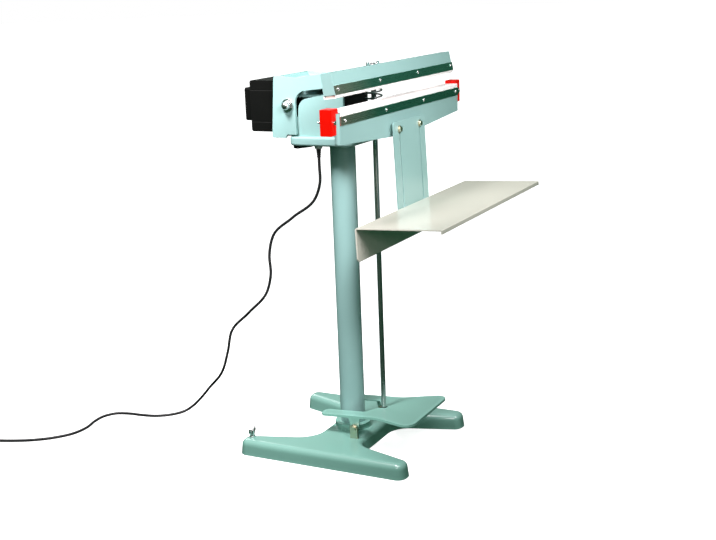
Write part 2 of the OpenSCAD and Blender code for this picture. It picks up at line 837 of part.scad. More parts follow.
body_top = head_z + body_h;
yoke_top = head_z + yoke_h;
shoulder_in = 14;
shoulder_h = 51;
module lower_body() {
    w = body_w / 2;
    pivot_hole = arm_pivot_d + 2 * seat;
    color(teal) difference() {
        union() {
            block([-w, -body_front, head_z], [w, body_back, body_top]);
            block([-w, -bar_back, yoke_z], [w, -body_front, yoke_top]);
        }
        block([-w + body_wall, -body_front + body_wall, head_z + body_wall],
            [w - body_wall, body_back + bite, body_top - body_wall]);
        block([-w + body_wall, -bar_back + body_wall, spring_floor],
            [w - body_wall, -body_front, yoke_top + bite]);
        at_rod() translate([0, 0, yoke_z - bite]) cylinder(d = bush_d + 2 * seat, h = yoke_t + 2 * bite);
        translate([0, arm_pivot_back, arm_pivot_z]) rod_x(pivot_hole, -w - bite, w + bite);
        // Rounded shoulder of each side, seen under the arm's arch
        both_sides() along_x([[10, body_top + bite, 0], [leg_front - 4, body_top - 12, 26],
            [leg_front - 0.5, body_top - shoulder_h, 0], [leg_front + 6, body_top - shoulder_h, 0],
            [leg_front + 6, body_top + bite, 0]], w - shoulder_in, w + bite);
    }
}

// Cover over the wiring on the lower body's front, between the walls of the spring bay
module switch_cover() {
    w = body_w / 2 - body_wall - 1;
    color(black) along_y(box_corners(-w, spring_floor + 18, w, body_top - 1, 4), -body_front - 2, -body_front);
}

// Switch that starts the heat: its plunger follows the arm
switch_x = 34;
switch_y = 55;
switch_h = 16;
plunger_d = 5;
plunger_gap = 0.4;
module microswitch() {
    color(black) difference() {
        block([switch_x - 14, switch_y - 8, body_top], [switch_x + 14, switch_y + 8, body_top + switch_h]);
        translate([switch_x, switch_y, body_top + switch_h - 9]) cylinder(d = plunger_d + 2 * fit, h = 10);
    }
}

plunger_z = body_top + switch_h - 3;
module switch_plunger() {
    color(red) translate([switch_x, switch_y, plunger_z])
        cylinder(d = plunger_d, h = arm_under_z - plunger_gap - plunger_z);
}

// Lower jaw

module lower_jaw_bar() {
    color(steel) block([-bar_l / 2, -bar_front, bar_top_z - jaw_bar_h], [bar_l / 2, -bar_back, bar_top_z]);
}

// Sheet with a bent flange at each end
plate_bend_r = 8;
module front_plate() {
    e = plate_end;
    low = bar_top_z - plate_h;
    end = bar_top_z - plate_end_h;
    back = -jaw_front + plate_flange;
    inner = e - plate_t;
    color(teal) difference() {
        intersection() {
            along_y([[-e - bite, end, 6], [-plate_flat, low, 20], [plate_flat, low, 20], [e + bite, end, 6],
                [e + bite, bar_top_z, 0], [-e - bite, bar_top_z, 0]], -jaw_front - bite, back + bite);
            slab([[-e, -jaw_front, plate_bend_r], [e, -jaw_front, plate_bend_r], [e, back, 0], [-e, back, 0]],
                low - bite, bar_top_z + bite);
        }
        slab([[-inner, -bar_front, plate_bend_r - plate_t], [inner, -bar_front, plate_bend_r - plate_t],
            [inner, back + bite, 0], [-inner, back + bite, 0]], low - 2 * bite, bar_top_z + 2 * bite);
        for (x = [-1, 1] * bracket_bolt_x)
            translate([x, 0, bracket_bolt_z]) rod_y(bracket_bolt_d + 2 * seat, -jaw_front - bite, -bar_front + bite);
    }
}

module insulation_strip() {
    color([0.78, 0.66, 0.45]) block([-bar_l / 2, -bar_front, bar_top_z],
        [bar_l / 2, -bar_back, bar_top_z + insulation_t]);
}

element_y = (bar_front + bar_back) / 2;
module heating_element() {
    color([0.6, 0.45, 0.4]) block([-bar_l / 2, -element_y - element_w / 2, bar_top_z + insulation_t],
        [bar_l / 2, -element_y + element_w / 2, bar_top_z + insulation_t + element_t]);
}

// Coated cloth over the lower jaw, with its front edge under the clamp strip
module lower_cloth() {
    l = bar_l / 2;
    under = bar_top_z + insulation_t + element_t;
    color(white) {
        block([-l, -jaw_front - cloth_t, under], [l, -bar_back + cloth_t, seal_z]);
        block([-l, -jaw_front - cloth_t, lower_strip_z + 4], [l, -jaw_front, under]);
        block([-l, -bar_back, bar_top_z - 14], [l, -bar_back + cloth_t, under]);
    }
}

function screw_row(l, end) = [for (k = [-1, -0.34, 0.34, 1]) k * (l / 2 - end)];

module strip(l, end, face, z, h, screw_z) {
    difference() {
        along_x([[-face - strip_t, z, 0.6], [-face, z, 0], [-face, z + h, 0], [-face - strip_t, z + h, 0.6]],
            -l / 2, l / 2);
        for (x = screw_row(l, end))
            translate([x, 0, screw_z]) rod_y(4.2, -face - strip_t - bite, -face + bite);
    }
}

module strip_screws(l, end, face, screw_z) {
    for (x = screw_row(l, end))
        translate([x, 0, screw_z]) {
            rod_y(4, -face - strip_t, -face);
            intersection() {
                translate([0, -face - strip_t + 2, 0]) sphere(d = strip_screw_d + 1);
                rod_y(strip_screw_d, -face - strip_t - 3, -face - strip_t);
            }
        }
}

lower_screw_end = 19;
upper_screw_end = 14;
lower_strip_face = jaw_front + cloth_t;
lower_screw_z = lower_strip_z + lower_strip_h / 2;
module lower_clamp_strip() {
    color(steel) strip(jaw_l, lower_screw_end, lower_strip_face, lower_strip_z, lower_strip_h, lower_screw_z);
}

module lower_strip_screws() {
    color(chrome) strip_screws(jaw_l, lower_screw_end, lower_strip_face, lower_screw_z);
}

// Terminal blocks at the jaw's ends

block_front = jaw_front - block_set;
block_back = block_front - block_depth;
block_out_x = plate_end + block_out;
block_top = seal_z + block_lip;
block_screw_x = (plate_end + block_out_x) / 2;
block_screw_z = block_top - block_h / 2;
// The block reaches over the front plate's corner, and is notched for the plate's flange below it
module terminal_block() {
    x0 = bar_l / 2 + seat;
    color(red) difference() {
        along_x([[-block_front, block_top - block_h, 2], [-block_back, block_top - block_h, 2],
            [-block_back, block_top, 2], [-block_front, block_top, 2]], x0, block_out_x);
        block([x0 - bite, -block_front - bite, block_top - block_h - bite],
            [plate_end + seat, -jaw_front + plate_flange + seat, bar_top_z + seat]);
        translate([block_screw_x, 0, block_screw_z]) rod_y(5.2, -block_front - bite, -block_back + bite);
    }
}

module terminal_block_right() {
    terminal_block();
}

module terminal_block_left() {
    mirror([1, 0, 0]) terminal_block();
}

module terminal_screws() {
    color(chrome) both_sides() translate([block_screw_x, 0, block_screw_z]) {
        rod_y(5, -block_front, -block_back + 9);
        rod_y(9, -block_front - 3, -block_front);
        hex_y(8, -block_back, -block_back + 4);
    }
}

// Upper arm

// The cheeks are drawn as they stand open; the jaw's back plane cuts them off in front
cheek_front = upper_back + 12;
leg_back = arm_pivot_back + 46;
leg_front = leg_back - leg_w;
leg_notch = plinth_back + 5;
arm_lip = 10;
arm_lip_t = 8;
cheek_corners = [
    [leg_back, head_z - 4, 3], [leg_back - 11, arm_top_z + arm_lip, 8], [leg_front - 5, arm_top_z + 5, 40],
    [-cheek_front + 80, arm_top_z + cheek_rise - 4, 20], [-cheek_front, arm_top_z + cheek_rise, 0],
    [-cheek_front, arm_under_z - 1, 0], [-cheek_front + 80, arm_under_z - 4, 20],
    [leg_front + 2, arm_under_z - 19, 30], [leg_front, head_z + 4, 2], [leg_notch - 4, head_z + 4, 0],
    [leg_notch, head_z - 4, 0],
];
bush_r = arm_pivot_d / 2 + 3;
rod_slot_back = 15;
web_t = 7;

// Turns a piece drawn with the jaws shut to where it stands open
module opened() {
    translate([0, arm_pivot_back, arm_pivot_z]) rotate([-open_angle, 0, 0])
        translate([0, -arm_pivot_back, -arm_pivot_z]) children();
}

module arm_casting() {
    color(teal) difference() {
        union() {
            both_sides() along_x(cheek_corners, cheek_in, cheek_out);
            block([-cheek_in - bite, -cheek_front, arm_under_z], [cheek_in + bite, leg_back - 18, arm_top_z]);
            block([-cheek_in - bite, leg_back - 18 - arm_lip_t, arm_under_z + bite],
                [cheek_in + bite, leg_back - 18 - seat, arm_top_z + arm_lip - 1]);
            opened() block([-cheek_in - bite, -upper_back - bite, upper_z + 4],
                [cheek_in + bite, -upper_back + web_t, shell_top_z - 5]);
            at_rod() translate([0, 4, arm_top_z - bite]) cylinder(d = rod_slot_w + 24, h = boss_h + bite);
        }
        opened() block([-cheek_out - bite, -cheek_front - 40, head_z], [cheek_out + bite, -upper_back, shell_top_z + 60]);
        translate([0, arm_pivot_back, arm_pivot_z])
            rod_x(2 * (bush_r + seat), -cheek_out - bite, cheek_out + bite);
        at_rod() slab(slot_corners(0, -rod_slot_w / 2 - 1, rod_slot_back, rod_slot_w), arm_under_z - bite, boss_z + bite);
        opened() for (x = [-1, 1] * jaw_bolt_x)
            translate([x, 0, jaw_bolt_z]) rod_y(jaw_bolt_d + 2 * seat, -upper_back - bite, -upper_back + web_t + bite);
    }
}

module pivot_bushes() {
    color([0.70, 0.52, 0.28]) both_sides() translate([0, arm_pivot_back, arm_pivot_z]) difference() {
        rod_x(2 * bush_r, cheek_in, cheek_out);
        rod_x(arm_pivot_d + 2 * fit, cheek_in - bite, cheek_out + bite);
    }
}

module arm_pivot_bolts() {
    w = body_w / 2;
    washer_x = cheek_out + play;
    color(chrome) both_sides() translate([0, arm_pivot_back, arm_pivot_z]) {
        rod_x(arm_pivot_d, w - body_wall - 12, washer_x + 6);
        rod_x(arm_pivot_d + 16, washer_x, washer_x + 3);
        hex_x(arm_pivot_d + 6, washer_x + 3, washer_x + 10);
        translate([washer_x + 10, 0, 0]) intersection() {
            sphere(d = arm_pivot_d + 6);
            rod_x(arm_pivot_d + 8, 0, arm_pivot_d);
        }
        hex_x(arm_pivot_d + 8, w - body_wall - 10, w - body_wall);
    }
}

// Upper jaw, drawn shut and turned open

function shell_corners(gap, floor) = [
    [-upper_face + gap, upper_z - floor, 0], [-upper_back - gap, upper_z - floor, 0],
    [-upper_back - gap, shell_top_z - gap, 0], [-upper_face + upper_lean + gap, shell_top_z - gap, 0],
];
jaw_bolt_x = 48;
jaw_bolt_d = 8;
jaw_bolt_z = upper_z + 28;

module upper_jaw_shell() {
    color(teal) opened() difference() {
        along_x(shell_corners(0, 0), -upper_l / 2, upper_l / 2);
        along_x(shell_corners(shell_t, bite), -upper_l / 2 + shell_t, upper_l / 2 - shell_t);
        for (x = [-1, 1] * jaw_bolt_x)
            translate([x, 0, jaw_bolt_z]) rod_y(jaw_bolt_d + 2 * seat, -upper_back - shell_t - bite, -upper_back + bite);
    }
}

module jaw_bolts() {
    web = -upper_back + web_t;
    color(steel) opened() for (x = [-1, 1] * jaw_bolt_x)
        translate([x, 0, jaw_bolt_z]) {
            rod_y(jaw_bolt_d, -upper_back - shell_t - 6, web);
            hex_y(jaw_bolt_d + 5, web, web + 5);
            hex_y(jaw_bolt_d + 5, -upper_back - shell_t - 6, -upper_back - shell_t);
        }
}

carrier_h = 12;
carrier_z = upper_z - carrier_foot;
pad_z = carrier_z - pad_t;
carrier_gap = shell_t + seat;
module pad_carrier() {
    l = upper_l / 2 - carrier_gap;
    lean = upper_lean * carrier_h / upper_h;
    color(steel) opened() block([-l, -upper_face + lean + carrier_gap, carrier_z],
        [l, -upper_back - carrier_gap, carrier_z + carrier_h]);
}

module silicone_pad() {
    l = upper_l / 2 - carrier_gap;
    color([0.85, 0.55, 0.45]) opened() block([-l, -upper_face + carrier_gap, pad_z],
        [l, -upper_back - carrier_gap, carrier_z]);
}

// Coated cloth round the pad, held between the shell's lower edges
module upper_cloth() {
    l = upper_l / 2;
    color(white) opened() {
        block([-l, -upper_face, pad_z - cloth_t], [l, -upper_back, pad_z]);
        block([-l, -upper_face, pad_z], [l, -upper_face + cloth_t, upper_z]);
        block([-l, -upper_back - cloth_t, pad_z], [l, -upper_back, upper_z]);
    }
}

upper_strip_z = upper_z - 0.5;
strip_lean = atan2(upper_lean, upper_h);
module on_upper_face() {
    opened() translate([0, -upper_face, upper_z]) rotate([-strip_lean, 0, 0])
        translate([0, upper_face, -upper_z]) children();
}

upper_screw_z = upper_strip_z + 0.59 * upper_strip_h;
module upper_clamp_strip() {
    color(steel) on_upper_face() strip(upper_l, upper_screw_end, upper_face,
        upper_strip_z, upper_strip_h, upper_screw_z);
}

module upper_strip_screws() {
    color(chrome) on_upper_face() strip_screws(upper_l, upper_screw_end, upper_face, upper_screw_z);
}

// Control box

module control_box() {
    w = box_w / 2;
    window = panel_w / 2 - panel_wall - 2;
    color(black) difference() {
        along_x([[box_y, box_z, 0], [box_back, box_z, 5], [box_back, box_z + box_h, 5], [box_y, box_z + box_h, 0]],
            -w, w);
        block([-w + box_wall, box_y - bite, box_z + box_wall],
            [w - box_wall, box_back - box_wall, box_z + box_h - box_wall]);
        block([-window, box_back - box_wall - bite, panel_z + panel_wall + 2],
            [window, box_back + bite, panel_z + panel_h - panel_wall - 2]);
    }
}

module rear_panel() {
    w = panel_w / 2;
    color(black) difference() {
        along_y(box_corners(-w, panel_z, w, panel_z + panel_h, 6), box_back, panel_face);
        along_y(box_corners(-w + panel_wall, panel_z + panel_wall, w - panel_wall, panel_z + panel_h - panel_wall, 3),
            box_back - bite, panel_face - panel_wall);
        translate([knob_x, 0, knob_z]) rod_y(pot_shaft_d + 2, panel_face - 2 * panel_wall, panel_face + bite);
        translate([lamp_x, 0, lamp_z]) rod_y(lamp_d + 2 * seat, panel_face - 2 * panel_wall, panel_face + bite);
        block([rocker_x - rocker_w / 2 - 3 - seat, panel_face - 2 * panel_wall, rocker_z - rocker_h / 2 - 3 - seat],
            [rocker_x + rocker_w / 2 + 3 + seat, panel_face + bite, rocker_z + rocker_h / 2 + 3 + seat]);
    }
}

panel_screw_d = 6;
module panel_screws() {
    w = panel_w / 2 - 7;
    color(steel) for (x = [-w, w], z = [panel_z + 7, panel_z + panel_h - 7])
        translate([x, panel_face, z]) rotate([-90, 0, 0]) difference() {
            cylinder(d1 = panel_screw_d, d2 = panel_screw_d - 2, h = 1.6);
            translate([-panel_screw_d, -0.5, 1]) cube([2 * panel_screw_d, 1, 1]);
        }
}

module timer_pot() {
    inner = panel_face - panel_wall;
    color([0.5, 0.5, 0.52]) translate([knob_x, 0, knob_z]) {
        rod_y(pot_d, inner - 9, inner);
        rod_y(pot_shaft_d, inner, panel_face + knob_h - 4);
    }
}

module timer_knob() {
    y0 = panel_face + play;
    color(black) translate([knob_x, 0, knob_z]) difference() {
        union() {
            rod_y(knob_d + 4, y0, y0 + 2);
            rod_y(knob_d, y0, y0 + knob_h - 1);
            block([-knob_d / 2 + 4, y0, -3], [knob_d / 2 - 4, y0 + knob_h, 3]);
        }
        rod_y(pot_shaft_d + 2 * fit, y0 - bite, panel_face + knob_h - 4 + play);
    }
}

rocker_tilt = 8;
rocker_axis_y = panel_face - 2;
module switch_housing() {
    w = rocker_w / 2 + 3;
    h = rocker_h / 2 + 3;
    color(black) translate([rocker_x, 0, rocker_z]) difference() {
        union() {
            block([-w, panel_face - panel_depth + 3, -h], [w, panel_face, h]);
            block([-w - 2, panel_face, -h - 2], [w + 2, panel_face + 2, h + 2]);
        }
        block([-rocker_w / 2 - 0.5, panel_face - panel_depth + 5, -rocker_h / 2 - 0.5],
            [rocker_w / 2 + 0.5, panel_face + 3, rocker_h / 2 + 0.5]);
        translate([0, rocker_axis_y, 0]) rod_x(3 + 2 * fit, -w + 1, w - 1);
    }
}

module power_rocker() {
    w = rocker_w / 2;
    h = rocker_h / 2 - 0.5;
    color(red) translate([rocker_x, rocker_axis_y, rocker_z]) rotate([-rocker_tilt, 0, 0]) {
        along_x([[-5, -5, 2], [1, -h, 0], [7, -h + 1, 1], [4.5, 0, 8], [7, h - 1, 1], [1, h, 0], [-5, 5, 2]], -w, w);
        rod_x(3, -w - 2, w + 2);
    }
}

module pilot_lamp() {
    color([0.9, 0.45, 0.1]) translate([lamp_x, 0, lamp_z]) {
        rod_y(lamp_d, panel_face - panel_wall, panel_face);
        rod_y(lamp_d + 3, panel_face, panel_face + 1.5);
        translate([0, panel_face + 1.5, 0]) intersection() {
            sphere(d = lamp_d);
            rod_y(lamp_d + 2, 0, lamp_d);
        }
    }
}

core_w = 84;
core_d = 34;
core_h = 70;
limb = 14;
core_y = box_y + 32;
core_z = box_z + box_wall;
module transformer_core() {
    window = core_w / 2 - 2 * limb;
    color([0.35, 0.35, 0.37]) difference() {
        block([-core_w / 2, core_y - core_d / 2, core_z], [core_w / 2, core_y + core_d / 2, core_z + core_h]);
        both_sides() block([limb, core_y - core_d, core_z + limb], [limb + window, core_y + core_d, core_z + core_h - limb]);
    }
}

module transformer_coil() {
    out = core_w / 2 - limb - play;
    deep = core_d / 2 + out - limb - 3;
    z0 = core_z + limb;
    z1 = core_z + core_h - limb - play;
    color([0.75, 0.45, 0.2]) difference() {
        block([-out, core_y - deep, z0], [out, core_y + deep, z1]);
        block([-limb - play, core_y - core_d / 2 - play, z0 - bite], [limb + play, core_y + core_d / 2 + play, z1 + bite]);
    }
}

// Board of the timer, carried on posts by the rear panel's back
board_w = 70;
board_y = box_back - 8;
module timer_board() {
    z0 = panel_z + panel_h - panel_wall - 10;
    color([0.1, 0.4, 0.2]) {
        block([-board_w / 2, board_y - 1.6, core_z + core_h + 6], [board_w / 2, board_y, box_z + box_h - box_wall - 3]);
        for (x = [-1, 1] * (board_w / 2 - 5))
            translate([x, 0, box_z + box_h - box_wall - 8]) rod_y(6, board_y, box_back - box_wall);
    }
}

// Work table and its bracket

// The bracket and the table stand square to each other, and lean together about the bracket's bolts
module hung() {
    translate([0, -bracket_back, bracket_bolt_z]) rotate([-table_tilt, 0, 0])
        translate([0, bracket_back, -bracket_bolt_z]) children();
}

table_screw_d = 5;
table_screw_rows = [skirt_z + 22, skirt_z + 50];
module table_bracket() {
    w = bracket_w / 2;
    color(teal) hung() difference() {
        along_y(box_corners(-w, bracket_z, w, bracket_top_z, 8), -bracket_face, -bracket_back);
        for (x = [-1, 1] * bracket_bolt_x) {
            along_y(slot_corners(x, bracket_bolt_z + slot_w / 2 - slot_l, bracket_bolt_z + slot_w / 2 + play, slot_w),
                -bracket_face - bite, -bracket_back + bite);
            for (z = table_screw_rows)
                translate([x, 0, z]) rod_y(table_screw_d + 2 * seat, -bracket_face - bite, -bracket_back + bite);
        }
    }
}

module bracket_bolts() {
    nut_y = -bar_front;
    head_y = -bracket_face - play;
    color(zinc) for (x = [-1, 1] * bracket_bolt_x) {
        translate([x, 0, bracket_bolt_z]) {
            rod_y(bracket_bolt_d, head_y - bite, nut_y + 8);
            rod_y(bracket_bolt_d + 6, -bracket_back + play, -jaw_front);
            hex_y(bracket_bolt_d + 5, nut_y, nut_y + 5.5);
        }
        hung() translate([x, 0, bracket_bolt_z]) {
            rod_y(bracket_bolt_d + 11, head_y - 1.5, head_y);
            hex_y(bracket_bolt_d + 5, head_y - 5.5, head_y - 1.5);
        }
    }
}

module work_table() {
    w = table_w / 2;
    y = -bracket_face;
    front = y - table_depth;
    color(white) hung() difference() {
        intersection() {
            along_x([
                [y, table_z, 4], [front, table_z, 1.5], [front, table_z - lip_h, 0],
                [front + table_t, table_z - lip_h, 0], [front + table_t, table_z - table_t, 0],
                [y - table_t, table_z - table_t, 1.5], [y - table_t, skirt_z - bite, 0], [y, skirt_z - bite, 0]],
                -w - bite, w + bite);
            along_y([[-w, skirt_z, 9], [w, skirt_z, 9], [w, table_z + bite, 0], [-w, table_z + bite, 0]],
                front - bite, y + bite);
        }
        for (x = [-1, 1] * bracket_bolt_x, z = table_screw_rows)
            translate([x, 0, z]) rod_y(table_screw_d + 2 * seat, y - table_t - bite, y + bite);
    }
}

module table_screws() {
    y = -bracket_face;
    color(steel) hung() for (x = [-1, 1] * bracket_bolt_x, z = table_screw_rows)
        translate([x, 0, z]) {
            rod_y(table_screw_d, y - table_t, -bracket_back + 4.5);
            rod_y(table_screw_d + 5, y - table_t - 2.5, y - table_t);
            hex_y(table_screw_d + 3, -bracket_back, -bracket_back + 4);
        }
}

// Cord, coil and plug

module cable_gland() {
    color([0.55, 0.57, 0.55]) translate([gland_x, gland_y, 0]) {
        translate([0, 0, plinth_z - gland_nut_h]) cylinder(d = gland_d / cos(30), h = gland_nut_h, $fn = 6);
        translate([0, 0, gland_end]) cylinder(d1 = cord_d + 1.5, d2 = cord_d + 6, h = gland_h - gland_nut_h + bite);
    }
}

// Turns of the coil: inwards in the lower layer, outwards in the upper one
function coil_angle(t) = coil_start_angle + 360 * t;
function coil_radius(t) = coil_r - coil_step * min(t, coil_span - t);
function coil_height(t) =
    coil_z + coil_step * min(max((t - coil_turns) * 2 + 0.5, 0), 1);
function coil_point(t) = [
    coil_x + coil_radius(t) * cos(coil_angle(t)),
    coil_y + coil_radius(t) * sin(coil_angle(t)),
    coil_height(t)];
function coil_heading(t) = [-sin(coil_angle(t)), cos(coil_angle(t)), 0];

coil_rings = 24 * coil_span;
coil_turn_points = [for (i = [0:coil_rings]) coil_point(coil_span * i / coil_rings)];
coil_in = coil_point(0) - coil_heading(0) * coil_lead;
coil_out = coil_point(coil_span) + coil_heading(coil_span) * coil_lead;
coil_path = concat([coil_in], coil_turn_points, [coil_out]);
echo(coil_self_gap = self_distance(coil_path, 12) - cord_d);

cord_points = concat(
    [[gland_x, gland_y, gland_end], [gland_x, gland_y, gland_end - 8]],
    cord_route,
    [coil_in - coil_heading(0) * 30, coil_in]
);

module cord() {
    color(black) tube(smooth(cord_points, 2), cord_r, 8, [1, 0, 0]);
}

module cord_coil() {
    color(black) tube(coil_path, cord_r, 6, [0, 0, 1]);
}

// Strap round all turns on one side of the coil
module cord_tie() {
    inner = coil_r - coil_step * (coil_turns + 0.2) - cord_r - tie_gap;
    outer = coil_r + cord_r + 1;
    top = coil_z + coil_step + cord_r + tie_gap;
    color([0.15, 0.15, 0.15]) translate([coil_x, coil_y, 0]) rotate([0, 0, coil_start_angle + 150])
        along_y_ring(inner, outer, top);
}

module along_y_ring(inner, outer, top) {
    difference() {
        block([inner - tie_t, -4, 0], [outer + tie_t, 4, top + tie_t]);
        block([inner, -4 - bite, tie_t], [outer, 4 + bite, top]);
    }
}

plug_tail = 22;
module at_plug() {
    translate(coil_out) rotate([0, 0, coil_angle(coil_span) + 90]) children();
}

module plug_body() {
    color(black) at_plug() intersection() {
        union() {
            rotate([0, 90, 0]) cylinder(d1 = cord_d + 2, d2 = cord_d + 7, h = plug_tail);
            translate([plug_tail, 0, 0]) rotate([0, 90, 0]) cylinder(d1 = cord_d + 9, d2 = plug_d, h = 12);
            translate([plug_tail + 12, 0, 0]) rotate([0, 90, 0]) cylinder(d = plug_d, h = plug_len - 12);
        }
        translate([-bite, -plug_d, -coil_out.z]) cube([plug_tail + plug_len + 2 * bite, 2 * plug_d, 2 * plug_d]);
    }
}

plug_pin_len = 19;
module plug_pins() {
    color(chrome) at_plug() translate([plug_tail + plug_len, 0, 0]) {
        for (y = [-9.5, 9.5])
            translate([0, y, 0]) rotate([0, 90, 0]) cylinder(d = 4.8, h = plug_pin_len);
    }
}

base_casting();
column_tube();
column_set_screws();
levelling_screw();
pedal_ears();
pedal_pivot_bolts();
pedal();
pull_rod();
cross_pin();
adjusting_nut();
rod_guide_bush();
spring_seat();
return_spring();
head_plinth();
bottom_cover();
lower_body();
switch_cover();
microswitch();
switch_plunger();
lower_jaw_bar();
front_plate();
insulation_strip();
heating_element();
lower_cloth();
lower_clamp_strip();
lower_strip_screws();
terminal_block_left();
terminal_block_right();
terminal_screws();
arm_casting();
arm_pivot_bolts();
pivot_bushes();
upper_jaw_shell();
pad_carrier();
silicone_pad();
upper_cloth();
upper_clamp_strip();
upper_strip_screws();
jaw_bolts();
control_box();
rear_panel();
panel_screws();
timer_pot();
timer_knob();
switch_housing();
power_rocker();
pilot_lamp();
transformer_core();
transformer_coil();
timer_board();
table_bracket();
bracket_bolts();
work_table();
table_screws();
cable_gland();
cord();
cord_coil();
cord_tie();
plug_body();
plug_pins();
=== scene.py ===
"""Dresses a foot-operated pedestal sealer: studio, cord, spring, cloths, screws, controls and finishes."""

import json
import math

import bmesh
import bpy
from bpy.props import FloatProperty, FloatVectorProperty, IntProperty, PointerProperty
from mathutils import Matrix, Vector

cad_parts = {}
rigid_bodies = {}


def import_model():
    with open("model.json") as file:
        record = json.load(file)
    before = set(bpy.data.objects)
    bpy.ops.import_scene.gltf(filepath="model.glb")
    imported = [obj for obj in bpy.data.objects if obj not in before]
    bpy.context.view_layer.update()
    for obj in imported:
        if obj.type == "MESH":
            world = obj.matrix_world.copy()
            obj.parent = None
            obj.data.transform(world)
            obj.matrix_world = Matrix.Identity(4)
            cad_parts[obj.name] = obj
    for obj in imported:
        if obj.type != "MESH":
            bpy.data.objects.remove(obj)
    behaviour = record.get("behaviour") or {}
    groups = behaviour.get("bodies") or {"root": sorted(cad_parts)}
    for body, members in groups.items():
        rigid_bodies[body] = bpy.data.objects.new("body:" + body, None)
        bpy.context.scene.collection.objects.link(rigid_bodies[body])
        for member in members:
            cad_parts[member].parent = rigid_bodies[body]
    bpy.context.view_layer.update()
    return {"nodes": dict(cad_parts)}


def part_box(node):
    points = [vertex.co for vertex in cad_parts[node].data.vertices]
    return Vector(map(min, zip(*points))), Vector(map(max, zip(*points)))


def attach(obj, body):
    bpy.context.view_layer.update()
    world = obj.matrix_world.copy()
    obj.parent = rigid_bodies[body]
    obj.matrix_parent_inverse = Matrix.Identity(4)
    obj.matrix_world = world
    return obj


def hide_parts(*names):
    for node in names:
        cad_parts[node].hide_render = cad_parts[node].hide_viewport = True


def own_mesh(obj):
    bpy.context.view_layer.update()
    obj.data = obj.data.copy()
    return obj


bl_info = {
    "name": "Pedestal sealer",
    "version": (1, 0, 0),
    "blender": (4, 5, 0),
    "location": "View3D > Sidebar > Sealer",
    "description": "Fine pieces and finishes of a foot-operated pedestal sealer",
    "category": "Object",
}

# The startup objects go first, so that only the frame is measured
for spare in list(bpy.data.objects):
    bpy.data.objects.remove(spare)
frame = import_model()
NODES = frame["nodes"]
MM = 0.001

# Places that the frame's source gives, in millimetres and degrees
ARM_PIVOT = (0, 100, 834)
OPEN_ANGLE = 6.1
UPPER_FACE_FOOT = (0, -157, 857.1)
UPPER_FACE_HEIGHT = 46
UPPER_FACE_SETBACK = 4
KNOB_CENTRE = (20, 233.3, 845)
PANEL_FACE = 233
ROCKER_CENTRE = (-22, 231, 845)
GLAND_FOOT = (-55, 34, 740)
GLAND_END = (-55, 34, 711)
THREAD_START = 830
THREAD_PITCH = 1.25
ELEMENT_LINE = -141.5
BOX_SEAMS = (867, 793)
CLAMP_SCREWS = (-299, -101.66, 101.66, 299)
COIL_CENTRE = (-425, 890)
COIL_RADIUS = 44
COIL_PITCH = 7.8
COIL_HEIGHT = 5
COIL_START = 20
COIL_LEAD = 7
COIL_TURNS = 3


def mm(*values):
    """A point given in millimetres, in metres."""
    return Vector(values) * MM


def shift(*values):
    """The move by a distance that is given in millimetres."""
    return Matrix.Translation(mm(*values))


def spin(degrees, axis):
    """The turn about an axis through the origin."""
    return Matrix.Rotation(math.radians(degrees), 4, axis)


def turn_about(point, degrees, axis):
    """The turn about an axis through a point that is given in millimetres."""
    centre = mm(*point)
    return Matrix.Translation(centre) @ spin(degrees, axis) @ Matrix.Translation(-centre)


OPENED = turn_about(ARM_PIVOT, -OPEN_ANGLE, "X")
UPPER_FACE_LEAN = math.degrees(math.atan2(UPPER_FACE_SETBACK, UPPER_FACE_HEIGHT))
UPPER_FACE = OPENED @ turn_about(UPPER_FACE_FOOT, -UPPER_FACE_LEAN, "X")
# Looking at the rear panel: x to the right, y up, z out of the panel
REAR = spin(-90, "X") @ spin(180, "Z")


def coil_heading(turns):
    """The direction of the stored cord after some turns."""
    angle = math.radians(COIL_START + 360 * turns)
    return Vector((-math.sin(angle), math.cos(angle), 0))


def coil_point(turns):
    """Where the stored cord lies: turns inwards in the lower layer, and outwards in the upper one."""
    angle = math.radians(COIL_START + 360 * turns)
    radius = COIL_RADIUS - COIL_PITCH * min(turns, COIL_TURNS - turns)
    # Half a turn in the middle climbs to the upper layer
    rise = min(max((turns - COIL_TURNS / 2) * 2 + 0.5, 0), 1)
    x, y = COIL_CENTRE
    return Vector((
        x + radius * math.cos(angle), y + radius * math.sin(angle), COIL_HEIGHT + COIL_PITCH * rise))


def coil_exit():
    """Where the stored cord ends, at the plug's tail."""
    return coil_point(COIL_TURNS) + coil_heading(COIL_TURNS) * COIL_LEAD


# Settings that a user would change

